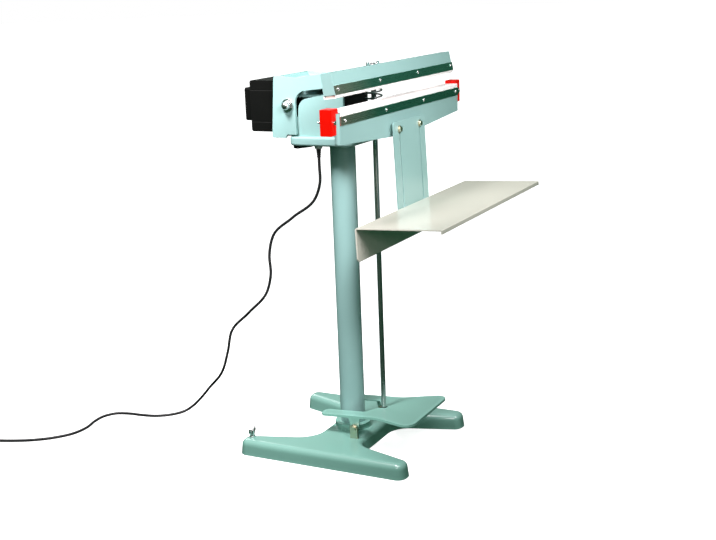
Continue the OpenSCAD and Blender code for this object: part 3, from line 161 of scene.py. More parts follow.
class SealerStudio(bpy.types.PropertyGroup):
    """Camera, floor and lights"""
    place: FloatVectorProperty(
        name="Camera", description="Where the camera stands", default=(-2.476, -1.304, 1.115),
        subtype="TRANSLATION", unit="LENGTH")
    yaw: FloatProperty(
        name="Yaw", description="Heading of the camera from the +X axis", default=math.radians(27.25),
        subtype="ANGLE", unit="ROTATION")
    pitch: FloatProperty(
        name="Pitch", description="How far the camera looks down", default=math.radians(13.73),
        subtype="ANGLE", unit="ROTATION")
    roll: FloatProperty(
        name="Roll", description="How far the camera leans", default=math.radians(2.12),
        subtype="ANGLE", unit="ROTATION")
    lens: FloatProperty(
        name="Lens", description="Focal length on a 36 mm sensor", default=60.134, min=10, unit="CAMERA")
    floor_tint: FloatVectorProperty(
        name="Floor", description="Colour of the floor", default=(0.86, 0.86, 0.86),
        subtype="COLOR", min=0, max=1)
    floor_glow: FloatProperty(
        name="Floor glow", description="Light that the floor gives by itself", default=0.80, min=0, max=1)
    sky_power: FloatProperty(
        name="Sky", description="Strength of the light from all round", default=0.40, min=0)
    sun_power: FloatProperty(
        name="Top light", description="Strength of the wide light from above", default=1.35, min=0)
    key_power: FloatProperty(
        name="Key light", description="Power of the light on the left, above the head", default=4.9,
        min=0, unit="POWER")
    fill_power: FloatProperty(
        name="Fill light", description="Power of the light in front of the jaws", default=5.1,
        min=0, unit="POWER")
    low_power: FloatProperty(
        name="Low light", description="Power of the light aimed at the base, on the left", default=0.32,
        min=0, unit="POWER")
    rear_power: FloatProperty(
        name="Rear light", description="Power of the light behind the machine", default=3.0,
        min=0, unit="POWER")


class SealerFinishes(bpy.types.PropertyGroup):
    """Colours of the main finishes"""
    enamel: FloatVectorProperty(
        name="Enamel", description="Colour of the stand and the jaws", default=(0.304, 0.512, 0.490),
        subtype="COLOR", min=0, max=1)
    table: FloatVectorProperty(
        name="Table enamel", description="Colour of the work table", default=(0.765, 0.755, 0.655),
        subtype="COLOR", min=0, max=1)
    strip: FloatVectorProperty(
        name="Clamp strips", description="Colour of the strips on the jaws", default=(0.062, 0.270, 0.190),
        subtype="COLOR", min=0, max=1)
    terminal: FloatVectorProperty(
        name="End blocks", description="Colour of the blocks at the lower jaw's ends",
        default=(0.720, 0.004, 0.001), subtype="COLOR", min=0, max=1)
    cloth: FloatVectorProperty(
        name="Jaw cloth", description="Colour of the coated cloth", default=(0.930, 0.925, 0.905),
        subtype="COLOR", min=0, max=1)
    housing: FloatVectorProperty(
        name="Black housing", description="Colour of the control box", default=(0.0034, 0.0038, 0.0034),
        subtype="COLOR", min=0, max=1)


class SealerPieces(bpy.types.PropertyGroup):
    """Sizes of the fine pieces"""
    cord_width: FloatProperty(
        name="Cord", description="Diameter of the supply cord", default=0.007,
        min=0.004, max=0.012, unit="LENGTH")
    spring_wire: FloatProperty(
        name="Spring wire", description="Diameter of the return spring's wire", default=0.004,
        min=0.002, max=0.005, unit="LENGTH")
    spring_curls: IntProperty(
        name="Spring curls", description="Curls of the return spring", default=9, min=5, max=12)
    cloth_thickness: FloatProperty(
        name="Cloth", description="Thickness of the coated cloth", default=0.0008,
        min=0.0003, max=0.0012, unit="LENGTH")
    screw_head: FloatProperty(
        name="Clamp screws", description="Diameter of the clamp screws' heads", default=0.008,
        min=0.005, max=0.009, unit="LENGTH")
    knob_flutes: IntProperty(
        name="Knob flutes", description="Grip flutes round the timer knob", default=12, min=6, max=20)


# Modelling helpers

def deselect():
    """Goes back to object mode and deselects everything."""
    if bpy.context.object and bpy.context.object.mode != "OBJECT":
        bpy.ops.object.mode_set(mode="OBJECT")
    bpy.ops.object.select_all(action="DESELECT")


def select(*objects):
    """Selects these objects, the first one as the active one."""
    deselect()
    for obj in objects:
        obj.select_set(True)
    bpy.context.view_layer.objects.active = objects[0]


def edit(obj, kind="FACE", test=None):
    """Opens an object for editing with the elements selected that pass the test."""
    select(obj)
    bpy.ops.object.mode_set(mode="EDIT")
    bpy.ops.mesh.select_mode(type=kind)
    bpy.ops.mesh.select_all(action="SELECT" if test is None else "DESELECT")
    if test is not None:
        mesh = bmesh.from_edit_mesh(obj.data)
        found = {"FACE": mesh.faces, "EDGE": mesh.edges, "VERT": mesh.verts}[kind]
        for element in found:
            element.select_set(bool(test(element)))
        mesh.select_flush_mode()
        bmesh.update_edit_mesh(obj.data)


def done():
    """Closes the edit mode."""
    bpy.ops.object.mode_set(mode="OBJECT")


def added(name, operator, **options):
    """The new object that an operator adds, under a name and selected alone."""
    deselect()
    operator(**options)
    obj = bpy.context.object
    obj.name = name
    return obj


def turned(name, profile, sides):
    """A turned solid about the Z axis, drawn out through pairs of radius and height in millimetres."""
    radius, height = profile[0]
    obj = added(
        name, bpy.ops.mesh.primitive_circle_add, vertices=sides, radius=radius * MM, fill_type="NGON",
        location=(0, 0, height * MM))
    bpy.ops.object.transform_apply()
    edit(obj)
    for (radius, height), (wider, higher) in zip(profile, profile[1:]):
        bpy.ops.mesh.extrude_region_move(TRANSFORM_OT_translate={"value": (0, 0, (higher - height) * MM)})
        bpy.ops.transform.resize(
            value=(wider / radius, wider / radius, 1), center_override=(0, 0, higher * MM))
    bpy.ops.mesh.select_all(action="SELECT")
    bpy.ops.mesh.normals_make_consistent(inside=False)
    done()
    return obj


def fluted(obj, count, low, high, waist):
    """Draws flutes into the side of a turned solid, between two heights in millimetres."""
    step = 360 / count

    def in_flute(vert):
        angle = math.degrees(math.atan2(vert.co.y, vert.co.x)) % step
        return low * MM < vert.co.z < high * MM and angle > step / 2 - 0.1

    edit(obj, "VERT", in_flute)
    bpy.ops.transform.resize(value=(waist, waist, 1), center_override=(0, 0, 0))
    done()


def boxed(name, low, high, round_off=0.0):
    """A block between two corners in millimetres, with its edges rounded off."""
    obj = added(name, bpy.ops.mesh.primitive_cube_add, size=1)
    obj.location = (mm(*low) + mm(*high)) / 2
    obj.scale = mm(*high) - mm(*low)
    bpy.ops.object.transform_apply()
    if round_off:
        edit(obj, "EDGE")
        bpy.ops.mesh.bevel(offset=round_off * MM, segments=3, affect="EDGES")
        done()
    return obj


def placed(obj, matrix):
    """Moves a modelled piece to its place, and keeps that place in its mesh."""
    select(obj)
    obj.matrix_world = matrix @ obj.matrix_world
    bpy.ops.object.transform_apply()
    return obj


def copied(obj, matrix):
    """A copy with a mesh of its own, at another place."""
    select(obj)
    bpy.ops.object.duplicate(linked=False)
    return placed(bpy.context.object, matrix)


def joined(name, objects):
    """Several modelled pieces as one object."""
    select(*objects)
    bpy.ops.object.join()
    objects[0].name = name
    return objects[0]


def cut(obj, cutter):
    """Takes a cutter's form out of an object."""
    select(obj)
    tool = obj.modifiers.new("Cut", "BOOLEAN")
    tool.operation = "DIFFERENCE"
    tool.solver = "EXACT"
    tool.object = cutter
    bpy.ops.object.modifier_apply(modifier=tool.name)
    bpy.data.objects.remove(cutter)


def round_curve(name, width, roundness, kind):
    """A curve with a round section, and its spline, which has one point so far."""
    line = bpy.data.curves.new(name, "CURVE")
    line.dimensions = "3D"
    line.bevel_depth = width / 2
    line.bevel_resolution = roundness
    line.use_fill_caps = True
    obj = bpy.data.objects.new(name, line)
    bpy.context.scene.collection.objects.link(obj)
    return obj, line.splines.new(kind)


def smoothed(obj, degrees):
    """Smooth faces with sharp edges where they turn by more than an angle."""
    select(obj)
    bpy.ops.object.shade_smooth_by_angle(angle=math.radians(degrees))
    return obj


def settled(obj, body, slot, replaced=(), finish=None):
    """Gives a modelled piece its body, slot and finish, the slot's if none is named, and what it replaces."""
    deselect()
    obj.data.materials.clear()
    obj.data.materials.append(finish_of(finish or slot))
    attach(obj, body)
    if replaced:
        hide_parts(*replaced)


# Corners of a node that lie nearer than this are merged, and edges that turn by more degrees stay sharp
WELD_GAP = 0.02 * MM
SHARP_EDGE = 30


def softened(obj):
    """Smooth shading for a node of the frame, split along its sharp edges."""
    select(obj)
    bpy.ops.object.shade_smooth()
    weld = obj.modifiers.new("Weld", "WELD")
    weld.merge_threshold = WELD_GAP
    split = obj.modifiers.new("Edges", "EDGE_SPLIT")
    split.split_angle = math.radians(SHARP_EDGE)
    normals = obj.modifiers.new("Normals", "WEIGHTED_NORMAL")
    normals.keep_sharp = True
    normals.weight = 60


# Shader helpers

class Wire:
    """A node's output that takes part in sums like a number."""

    def __init__(self, wiring, socket):
        self.wiring = wiring
        self.socket = socket

    def sum(self, operation, first, second):
        return self.wiring.node("ShaderNodeMath", {"operation": operation}, {0: first, 1: second})

    def __add__(self, other):
        return self.sum("ADD", self, other)

    def __radd__(self, other):
        return self.sum("ADD", other, self)

    def __sub__(self, other):
        return self.sum("SUBTRACT", self, other)

    def __rsub__(self, other):
        return self.sum("SUBTRACT", other, self)

    def __mul__(self, other):
        return self.sum("MULTIPLY", self, other)

    def __rmul__(self, other):
        return self.sum("MULTIPLY", other, self)

    def __gt__(self, other):
        return self.sum("GREATER_THAN", self, other)

    def __abs__(self):
        return self.sum("ABSOLUTE", self, 0.0)


class Wiring:
    """A node tree under construction."""

    def __init__(self, tree):
        self.tree = tree

    def node(self, kind, settings=None, sockets=None, out=0):
        """Adds a node, sets it and feeds its sockets with values or wires."""
        made = self.tree.nodes.new(kind)
        for key, value in (settings or {}).items():
            if key == "stops":
                ramp = made.color_ramp
                while len(ramp.elements) < len(value):
                    ramp.elements.new(0.5)
                for element, (position, colour) in zip(ramp.elements, value):
                    element.position = position
                    element.color = (*colour, 1)
            else:
                setattr(made, key, value)
        for key, value in (sockets or {}).items():
            self.feed(made.inputs[key], value)
        return Wire(self, made.outputs[out])

    def feed(self, socket, value):
        """Links a wire to a socket, or sets the socket's own value."""
        if isinstance(value, Wire):
            self.tree.links.new(value.socket, socket)
        elif socket.type == "RGBA" and len(value) == 3:
            socket.default_value = (*value, 1)
        else:
            socket.default_value = value


class Recipe(Wiring):
    """A material under construction: one shader and what feeds it."""

    def __init__(self, name):
        self.material = bpy.data.materials.new(name)
        self.material.use_nodes = True
        super().__init__(self.material.node_tree)
        self.tree.nodes.clear()
        self.shader = self.tree.nodes.new("ShaderNodeBsdfPrincipled")
        output = self.tree.nodes.new("ShaderNodeOutputMaterial")
        self.tree.links.new(self.shader.outputs[0], output.inputs["Surface"])
        self.place = self.node("ShaderNodeTexCoord", out="Object")

    def axis(self, letter):
        """One coordinate of the object's own space, in metres."""
        return self.node("ShaderNodeSeparateXYZ", None, {0: self.place}, letter)

    def stretched(self, scale):
        """The object's coordinates, scaled along each axis."""
        return self.node("ShaderNodeMapping", None, {"Vector": self.place, "Scale": scale})

    def noise(self, scale, detail, rough=0.5, vector=None):
        """A cloudy value from 0 to 1; a scale of 1000 has details of a millimetre."""
        return self.node("ShaderNodeTexNoise", None, {
            "Vector": vector or self.place, "Scale": scale, "Detail": detail, "Roughness": rough})

    def cells(self, scale):
        """Distance to the nearest of many scattered points, for grains and pits."""
        return self.node("ShaderNodeTexVoronoi", None, {"Vector": self.place, "Scale": scale})

    def wave(self, letter, scale):
        """Ridges beside each other along an axis; a scale of 1 repeats every 0.314 m."""
        return self.node(
            "ShaderNodeTexWave", {"bands_direction": letter}, {"Vector": self.place, "Scale": scale})

    def ramp(self, value, low, high):
        """A value stretched so that low becomes 0 and high becomes 1."""
        return self.node("ShaderNodeMapRange", {"clamp": True}, {0: value, 1: low, 2: high})

    def mix(self, share, first, second):
        """A colour between two colours."""
        return self.node("ShaderNodeMix", {"data_type": "RGBA"}, {0: share, 6: first, 7: second}, 2)

    def rounded(self, radius):
        """Normals that round the edges off by a radius in millimetres."""
        return self.node("ShaderNodeBevel", {"samples": 4}, {"Radius": radius * MM})

    def edges(self, width):
        """A mask of the outer and inner edges, about as wide as a width in millimetres."""
        flat = self.node("ShaderNodeNewGeometry", out="Normal")
        turn = self.node(
            "ShaderNodeVectorMath", {"operation": "DOT_PRODUCT"}, {0: self.rounded(width), 1: flat}, "Value")
        return self.ramp(turn, 0.995, 0.88)

    def bump(self, height, depth, normal=None):
        """Normals of a relief with a depth in millimetres."""
        sockets = {"Height": height, "Distance": depth * MM}
        if normal is not None:
            sockets["Normal"] = normal
        return self.node("ShaderNodeBump", None, sockets)

    def finish(self, **sockets):
        """Feeds the shader's sockets, and gives the material."""
        for key, value in sockets.items():
            self.feed(self.shader.inputs[key.replace("_", " ").title().replace("Ior", "IOR")], value)
        return self.material


def shade(colour, factor):
    """A colour made darker or lighter."""
    return tuple(min(1.0, part * factor) for part in colour)


# Finishes

def enamel_finish(name, colour, grain, depth, edge=0.8, highlight_width=2.0, pale=0.40, gloss=1.5):
    """Baked enamel: faint orange peel, clouding, and paler edges that are a painted highlight."""
    paint = Recipe(name)
    cloud = paint.noise(9, 4, 0.55)
    fine = paint.noise(grain, 3, 0.6)
    dust = paint.ramp(paint.noise(55, 5, 0.7), 0.62, 0.80)
    # Paler edges, patchy with the clouding: a painted highlight
    edge_highlight = paint.edges(highlight_width) * (0.5 + 0.5 * cloud)
    tint = paint.mix(cloud, shade(colour, 0.94), shade(colour, 1.05))
    tint = paint.mix(dust * 0.10, tint, shade(colour, 1.5))
    tint = paint.mix(edge_highlight * pale, tint, shade(colour, 1.45))
    relief = paint.bump(fine, depth, paint.rounded(edge))
    return paint.finish(
        base_color=tint, roughness=0.25 + 0.10 * cloud + 0.06 * dust, normal=relief,
        coat_weight=0.60, coat_roughness=0.20, coat_ior=gloss)


def strip_finish(name, colour):
    """Rolled strip with fine lines along its length, and a painted reflection at its left end."""
    metal = Recipe(name)
    lines = metal.noise(1.0, 4, 0.65, metal.stretched((6, 1400, 1400)))
    cloud = metal.noise(7, 3)
    tint = metal.mix(lines, shade(colour, 0.72), shade(colour, 1.35))
    tint = metal.mix(cloud * 0.35, tint, shade(colour, 1.8))
    # The left end is painted paler: a painted reflection
    end_reflection = metal.ramp(metal.axis("X"), -140 * MM, -340 * MM)
    tint = metal.mix(end_reflection * 0.85, tint, (0.640, 0.580, 0.500))
    relief = metal.bump(lines, 0.02, metal.rounded(0.4))
    return metal.finish(base_color=tint, metallic=0.9, roughness=0.20 + 0.16 * lines, normal=relief)


def plated_finish(name, colour, other, rough):
    """Plated steel: clouded plating and fine handling scratches."""
    metal = Recipe(name)
    cloud = metal.noise(120, 4, 0.6)
    scratch = metal.noise(1.0, 2, 0.5, metal.stretched((300, 300, 2600)))
    tint = metal.mix(metal.ramp(cloud, 0.35, 0.65), colour, other)
    relief = metal.bump(scratch, 0.008, metal.rounded(0.5))
    return metal.finish(base_color=tint, metallic=1.0, roughness=rough + 0.10 * scratch, normal=relief)


def moulded_finish(name, colour, rough, grain=900, depth=0.03, edge=0.8, gloss=0.4, seams=()):
    """Moulded plastic with a fine grain, and a shallow, paler seam at each of some heights in millimetres;
    with seams, also paler edges as a painted highlight.
    """
    plastic = Recipe(name)
    pits = plastic.cells(grain)
    cloud = plastic.noise(14, 3)
    tint = plastic.mix(cloud, shade(colour, 0.85), shade(colour, 1.18))
    normal = plastic.rounded(edge)
    if seams:
        lines = 0.0
        for height in seams:
            away = abs(plastic.axis("Z") - height * MM)
            lines = lines + (1.0 - plastic.ramp(away, 0.6 * MM, 1.4 * MM))
        tint = plastic.mix(lines * 0.5, tint, shade(colour, 3.5))
        # Paler edges: a painted highlight
        tint = plastic.mix(plastic.edges(2.5) * 0.6, tint, shade(colour, 3.0))
        normal = plastic.bump(1.0 - lines, 0.5, normal)
    return plastic.finish(
        base_color=tint, roughness=rough + 0.12 * cloud, normal=plastic.bump(pits, depth, normal),
        specular_ior_level=gloss)


def threaded_finish(name, colour, rough, start, pitch):
    """Bright bar with a thread above a height in millimetres, with painted shade in the thread's grooves."""
    metal = Recipe(name)
    cloud = metal.noise(1.0, 3, 0.5, metal.stretched((300, 300, 12)))
    threaded = metal.axis("Z") > start * MM
    ridge = metal.wave("Z", 314.16 / pitch)
    tint = metal.mix(cloud, colour, shade(colour, 0.72))
    # Darker grooves of the thread: painted shade
    tint = metal.mix(threaded * (1.0 - ridge) * 0.7, tint, shade(colour, 0.25))
    relief = metal.bump(ridge * threaded, 0.5)
    return metal.finish(base_color=tint, metallic=1.0, roughness=rough + 0.12 * cloud, normal=relief)


def cloth_finish(name, colour, scorch_at):
    """Coated glass cloth: a fine plain weave, with a faint scorch over the heating element."""
    cloth = Recipe(name)
    weave = cloth.wave("X", 320.0) * cloth.wave("Y", 320.0)
    cloud = cloth.noise(30, 4)
    tint = cloth.mix(cloud, shade(colour, 0.96), shade(colour, 1.04))
    away = abs(cloth.axis("Y") - scorch_at * MM)
    line = (1.0 - cloth.ramp(away, 0.6 * MM, 1.6 * MM)) * (0.55 + 0.45 * cloth.noise(60, 3))
    tint = cloth.mix(line * 0.60, tint, (0.80, 0.40, 0.37))
    return cloth.finish(base_color=tint, roughness=0.42 + 0.14 * cloud, normal=cloth.bump(weave, 0.05))


def rubber_finish(name, colour, rough, dust=1.9):
    """Rubber or soft sheath, slightly dusty."""
    rubber = Recipe(name)
    cloud = rubber.noise(40, 4, 0.6)
    tint = rubber.mix(rubber.ramp(cloud, 0.45, 0.75), colour, shade(colour, dust))
    relief = rubber.bump(rubber.noise(1500, 2), 0.03)
    return rubber.finish(base_color=tint, roughness=rough + 0.16 * cloud, normal=relief)


def layered_finish(name, colour, other, scale, metallic, rough):
    """Thin layers above each other, as in a stack of sheets or a winding."""
    stack = Recipe(name)
    lines = stack.wave("Z", scale)
    cloud = stack.noise(60, 3)
    tint = stack.mix(lines, colour, other)
    tint = stack.mix(cloud * 0.25, tint, shade(colour, 0.6))
    return stack.finish(
        base_color=tint, metallic=metallic, roughness=rough + 0.15 * cloud, normal=stack.bump(lines, 0.15))


def lens_finish(name, colour):
    """Ribbed translucent lens of a pilot lamp."""
    lens = Recipe(name)
    ribs = lens.wave("X", 160.0)
    tint = lens.mix(ribs, shade(colour, 0.8), shade(colour, 1.2))
    return lens.finish(
        base_color=tint, roughness=0.12 + 0.08 * ribs, normal=lens.bump(ribs, 0.08), coat_weight=0.6,
        coat_roughness=0.05)


def make_finishes(settings):
    """A finish for each material slot of the record, and for the nodes and prints that have their own."""
    teal = tuple(settings.enamel)
    # The foot's enamel is tinted greener, a painted shade
    foot = tuple(part * factor for part, factor in zip(teal, FOOT_SHADE_TINT))
    black = tuple(settings.housing)
    return {
        "teal_enamel": enamel_finish("sheet_enamel", teal, 520, 0.035),
        "cast_enamel": enamel_finish("cast_enamel", teal, 210, 0.10, 1.2),
        # A wide, strong painted highlight along the foot's rounded edges
        "foot_enamel": enamel_finish("foot_enamel", foot, 210, 0.10, 1.2, 14.0, 0.8, 2.1),
        "white_enamel": enamel_finish("table_enamel", tuple(settings.table), 520, 0.03),
        "dark_steel": plated_finish("blackened_steel", (0.050, 0.052, 0.055), (0.090, 0.088, 0.085), 0.38),
        "zinc": plated_finish("yellow_zinc", (0.700, 0.650, 0.470), (0.640, 0.650, 0.560), 0.26),
        "chrome": plated_finish("bright_chrome", (0.860, 0.865, 0.860), (0.740, 0.755, 0.760), 0.20),
        "steel": plated_finish("drawn_steel", (0.450, 0.460, 0.460), (0.360, 0.370, 0.370), 0.24),
        "polished_strip": strip_finish("rolled_strip", tuple(settings.strip)),
        "aluminium": plated_finish("milled_aluminium", (0.680, 0.690, 0.690), (0.600, 0.610, 0.610), 0.34),
        "bronze": plated_finish("sintered_bronze", (0.440, 0.270, 0.110), (0.340, 0.210, 0.090), 0.40),
        "black_plastic": moulded_finish("black_housing", black, 0.40, gloss=0.12),
        "red_plastic": moulded_finish("red_end_block", tuple(settings.terminal), 0.26, 700, 0.015, 1.0, 0.22),
        "amber_lens": lens_finish("amber_lens", (0.820, 0.260, 0.030)),
        "white_cloth": cloth_finish("coated_cloth", tuple(settings.cloth), ELEMENT_LINE),
        "insulation": moulded_finish("mica_strip", (0.500, 0.480, 0.440), 0.60),
        "element_wire": plated_finish("heating_ribbon", (0.360, 0.260, 0.220), (0.300, 0.280, 0.270), 0.36),
        "silicone": rubber_finish("silicone_pad", (0.820, 0.640, 0.590), 0.55, 1.1),
        "core_iron": layered_finish("core_sheets", (0.11, 0.11, 0.115), (0.20, 0.20, 0.20), 320, 0.7, 0.45),
        "winding": layered_finish("copper_winding", (0.48, 0.17, 0.07), (0.26, 0.08, 0.03), 260, 0.5, 0.35),
        "board": moulded_finish("circuit_board", (0.020, 0.150, 0.060), 0.40),
        "gland_plastic": moulded_finish("gland_plastic", (0.520, 0.560, 0.540), 0.45),
        "black_rubber": rubber_finish("cord_sheath", (0.012, 0.012, 0.013), 0.44),
        "control_box": moulded_finish("box_shell", black, 0.40, edge=1.0, gloss=0.12, seams=BOX_SEAMS),
        "pull_rod": threaded_finish("rod_steel", (0.620, 0.630, 0.620), 0.22, THREAD_START, THREAD_PITCH),
        "print": moulded_finish("dial_print", (0.720, 0.720, 0.700), 0.50),
    }


# Enamelled castings of the head and of the foot, and nodes with a finish of their own name
CAST_NODES = ("arm_casting", "lower_body", "head_plinth")
FOOT_NODES = ("base_casting", "pedal", "pedal_ears")
# A greener tint of the foot's enamel: painted shade
FOOT_SHADE_TINT = (0.80, 0.98, 0.87)
OWN_FINISH = ("control_box", "pull_rod")
FINISHES = {}


def finish_of(name):
    """A finish by its name; all of them are made when the first one is asked for."""
    if not FINISHES:
        FINISHES.update(make_finishes(bpy.context.scene.sealer_finishes))
    return FINISHES[name]


# Operators

class SEALER_OT_studio(bpy.types.Operator):
    """Camera, pale floor, white backdrop and soft light"""
    bl_idname = "sealer.studio"
    bl_label = "Studio"

    # Floor and backdrop in metres, the camera's sensor in millimetres, and the wide light's width in degrees
    FLOOR_SIZE = 600
    BACKDROP_RADIUS = 40
    SENSOR_WIDTH = 36
    SUN_HEADING = (0.35, 0.10, -1)
    SUN_WIDTH = 32
    LAMP_COLOUR = (1.0, 0.92, 0.955)
    # Light from below, from the sides and from above
    SKY_STOPS = ((0.30, (0.012, 0.080, 0.036)), (0.52, (0.07, 0.27, 0.15)), (0.95, (1, 1, 1)))

    def execute(self, context):
        studio = context.scene.sealer_studio
        self.add_camera(context, studio)
        self.add_floor(studio)
        self.add_backdrop()
        self.add_sky(context, studio.sky_power)
        self.add_lights(studio)
        return {"FINISHED"}

    def add_camera(self, context, studio):
        """A camera at its place, with its heading, its look down and its lean."""
        yaw, pitch, roll = studio.yaw, studio.pitch, studio.roll
        ahead = Vector((
            math.cos(pitch) * math.cos(yaw), math.cos(pitch) * math.sin(yaw), -math.sin(pitch)))
        level = Vector((math.sin(yaw), -math.cos(yaw), 0))
        below = ahead.cross(level)
        right = level * math.cos(roll) + below * math.sin(roll)
        down = below * math.cos(roll) - level * math.sin(roll)
        turn = Matrix((right, -down, -ahead)).transposed().to_4x4()
        camera = added("photo_camera", bpy.ops.object.camera_add)
        camera.matrix_world = Matrix.Translation(studio.place) @ turn
        camera.data.lens = studio.lens
        camera.data.sensor_width = self.SENSOR_WIDTH
        camera.data.sensor_fit = "HORIZONTAL"
        context.scene.camera = camera

    def add_floor(self, studio):
        """A wide, pale floor."""
        floor = added(
            "studio_floor", bpy.ops.mesh.primitive_plane_add, size=self.FLOOR_SIZE, location=(0, 0, 0))
        plain = Recipe("studio_floor")
        pale = tuple(studio.floor_tint)
        tint = plain.mix(plain.noise(0.8, 2), shade(pale, 0.99), pale)
        floor.data.materials.append(plain.finish(
            base_color=tint, roughness=0.9, specular_ior_level=0.1, emission_color=(1, 1, 1),
            emission_strength=studio.floor_glow))
        # The floor shows and takes shadows, and throws no light up at the machine
        floor.visible_diffuse = False
        floor.visible_glossy = False

    def add_backdrop(self):
        """A plain white wall far off, all round, that lights nothing."""
        wall = added(
            "studio_backdrop", bpy.ops.mesh.primitive_uv_sphere_add, segments=48, ring_count=24,
            radius=self.BACKDROP_RADIUS)
        white = Recipe("studio_backdrop")
        wall.data.materials.append(white.finish(
            base_color=(0, 0, 0), specular_ior_level=0.0, emission_color=(1, 1, 1), emission_strength=1.0))
        white.material.cycles.emission_sampling = "NONE"
        wall.visible_diffuse = False
        wall.visible_glossy = False
        wall.visible_transmission = False
        wall.visible_shadow = False

    def add_sky(self, context, power):
        """Light from all round that is strong from above, weak from the sides and faint from below."""
        world = bpy.data.worlds.new("studio_world")
        world.use_nodes = True
        sky = Wiring(world.node_tree)
        heading = sky.node("ShaderNodeTexCoord", out="Generated")
        height = sky.node("ShaderNodeSeparateXYZ", None, {0: heading}, "Z")
        span = sky.node("ShaderNodeMapRange", None, {"Value": height, "From Min": -1})
        glow = world.node_tree.nodes["Background"]
        sky.feed(glow.inputs["Color"], sky.node("ShaderNodeValToRGB", {"stops": self.SKY_STOPS}, {0: span}))
        sky.feed(glow.inputs["Strength"], power)
        context.scene.world = world
        context.scene.view_settings.view_transform = "Standard"

    def add_lights(self, studio):
        """A wide light from above, and four lamps."""
        sun = added("top_light", bpy.ops.object.light_add, type="SUN", location=(0, 0, 3))
        sun.rotation_euler = Vector(self.SUN_HEADING).to_track_quat("-Z", "Y").to_euler()
        sun.data.angle = math.radians(self.SUN_WIDTH)
        sun.data.energy = studio.sun_power
        # Name, place, aim, width, height, spread in degrees, power
        lamps = (
            ("key_light", (-0.66, 0.18, 1.66), (0.10, 0.24, 0.60), 0.25, 0.25, 75, studio.key_power),
            ("fill_light", (-0.75, -0.98, 1.42), (-0.24, -0.16, 0.98), 1.2, 0.25, 64, studio.fill_power),
            ("low_light", (-1.40, -0.45, 0.95), (0.00, 0.02, 0.22), 0.5, 0.3, 36, studio.low_power),
            ("rear_light", (1.10, 1.70, 1.30), (0.00, 0.10, 0.60), 1.0, 0.6, 90, studio.rear_power),
        )
        for name, place, aim, width, height, spread, power in lamps:
            lamp = added(name, bpy.ops.object.light_add, type="AREA", location=place)
            lamp.rotation_euler = (Vector(aim) - Vector(place)).to_track_quat("-Z", "Y").to_euler()
            lamp.data.shape = "RECTANGLE"
            lamp.data.size = width
            lamp.data.size_y = height
            lamp.data.spread = math.radians(spread)
            lamp.data.energy = power
            lamp.data.color = self.LAMP_COLOUR
            lamp.visible_camera = False


class SEALER_OT_cable_gland(bpy.types.Operator):
    """Hexagonal cable gland with a tapered, ribbed sleeve"""
    bl_idname = "sealer.cable_gland"
    bl_label = "Cable gland"

    RIBS = 5

    def execute(self, context):
        x, y, foot = GLAND_FOOT
        place = shift(x, y, 0)
        end = GLAND_END[2]
        nut = turned("gland_nut", (
            (9.4, foot), (10.3, foot - 0.8), (10.3, foot - 5.6), (9.2, foot - 6.6), (7.6, foot - 7),
            (6.6, foot - 7)), 6)
        settled(smoothed(placed(nut, place), 30), "stand", "gland_plastic", ("cable_gland",))
        profile = [(6.4, foot - 6)]
        step = (foot - 8 - end) / self.RIBS
        for rib in range(self.RIBS):
            top = foot - 7.5 - step * rib
            wide = 6.3 - 1.8 * rib / self.RIBS
            profile += [
                (wide, top), (wide - 0.1, top - 0.45 * step), (wide - 1.1, top - 0.55 * step),
                (wide - 1.2, top - 0.9 * step)]
        profile += [(4.3, end + 0.4), (3.7, end)]
        sleeve = smoothed(placed(turned("gland_sleeve", profile, 28), place), 30)
        settled(sleeve, "stand", "black_rubber")
        return {"FINISHED"}


class SEALER_OT_mains_plug(bpy.types.Operator):
    """Round mains plug with grip flutes and a ribbed tail, lying beside the coil"""
    bl_idname = "sealer.mains_plug"
    bl_label = "Mains plug"

    RIBS = 5
    FLUTES = 18

    def profile(self):
        """Pairs of radius and height from the tail to the face."""
        spots = [(4.4, 0.0)]
        for rib in range(self.RIBS):
            low = 1 + 4 * rib
            wide = 4.6 + 0.42 * rib
            spots += [(wide, low), (wide, low + 2.2), (wide - 1.1, low + 2.6), (wide - 1.1, low + 3.6)]
        return spots + [
            (7.0, 21.5), (8.2, 22.4), (14.0, 33.2), (14.8, 34.6), (15.0, 36.0), (14.8, 38.0), (14.8, 52.0),
            (15.0, 54.0), (15.0, 62.5), (14.0, 64.0), (12.0, 64.0)]

    def execute(self, context):
        plug = turned("mains_plug", self.profile(), self.FLUTES * 4)
        fluted(plug, self.FLUTES, low=37, high=53, waist=0.94)
        placed(plug, shift(*coil_exit()) @ spin(COIL_START + 90, "Z") @ spin(90, "Y"))
        # The plug's belly is flat where it lies on the floor
        edit(plug)
        bpy.ops.mesh.bisect(plane_co=(0, 0, 0), plane_no=(0, 0, -1), use_fill=True, clear_outer=True)
        done()
        settled(smoothed(plug, 30), "stand", "black_rubber", ("plug_body",))
        return {"FINISHED"}


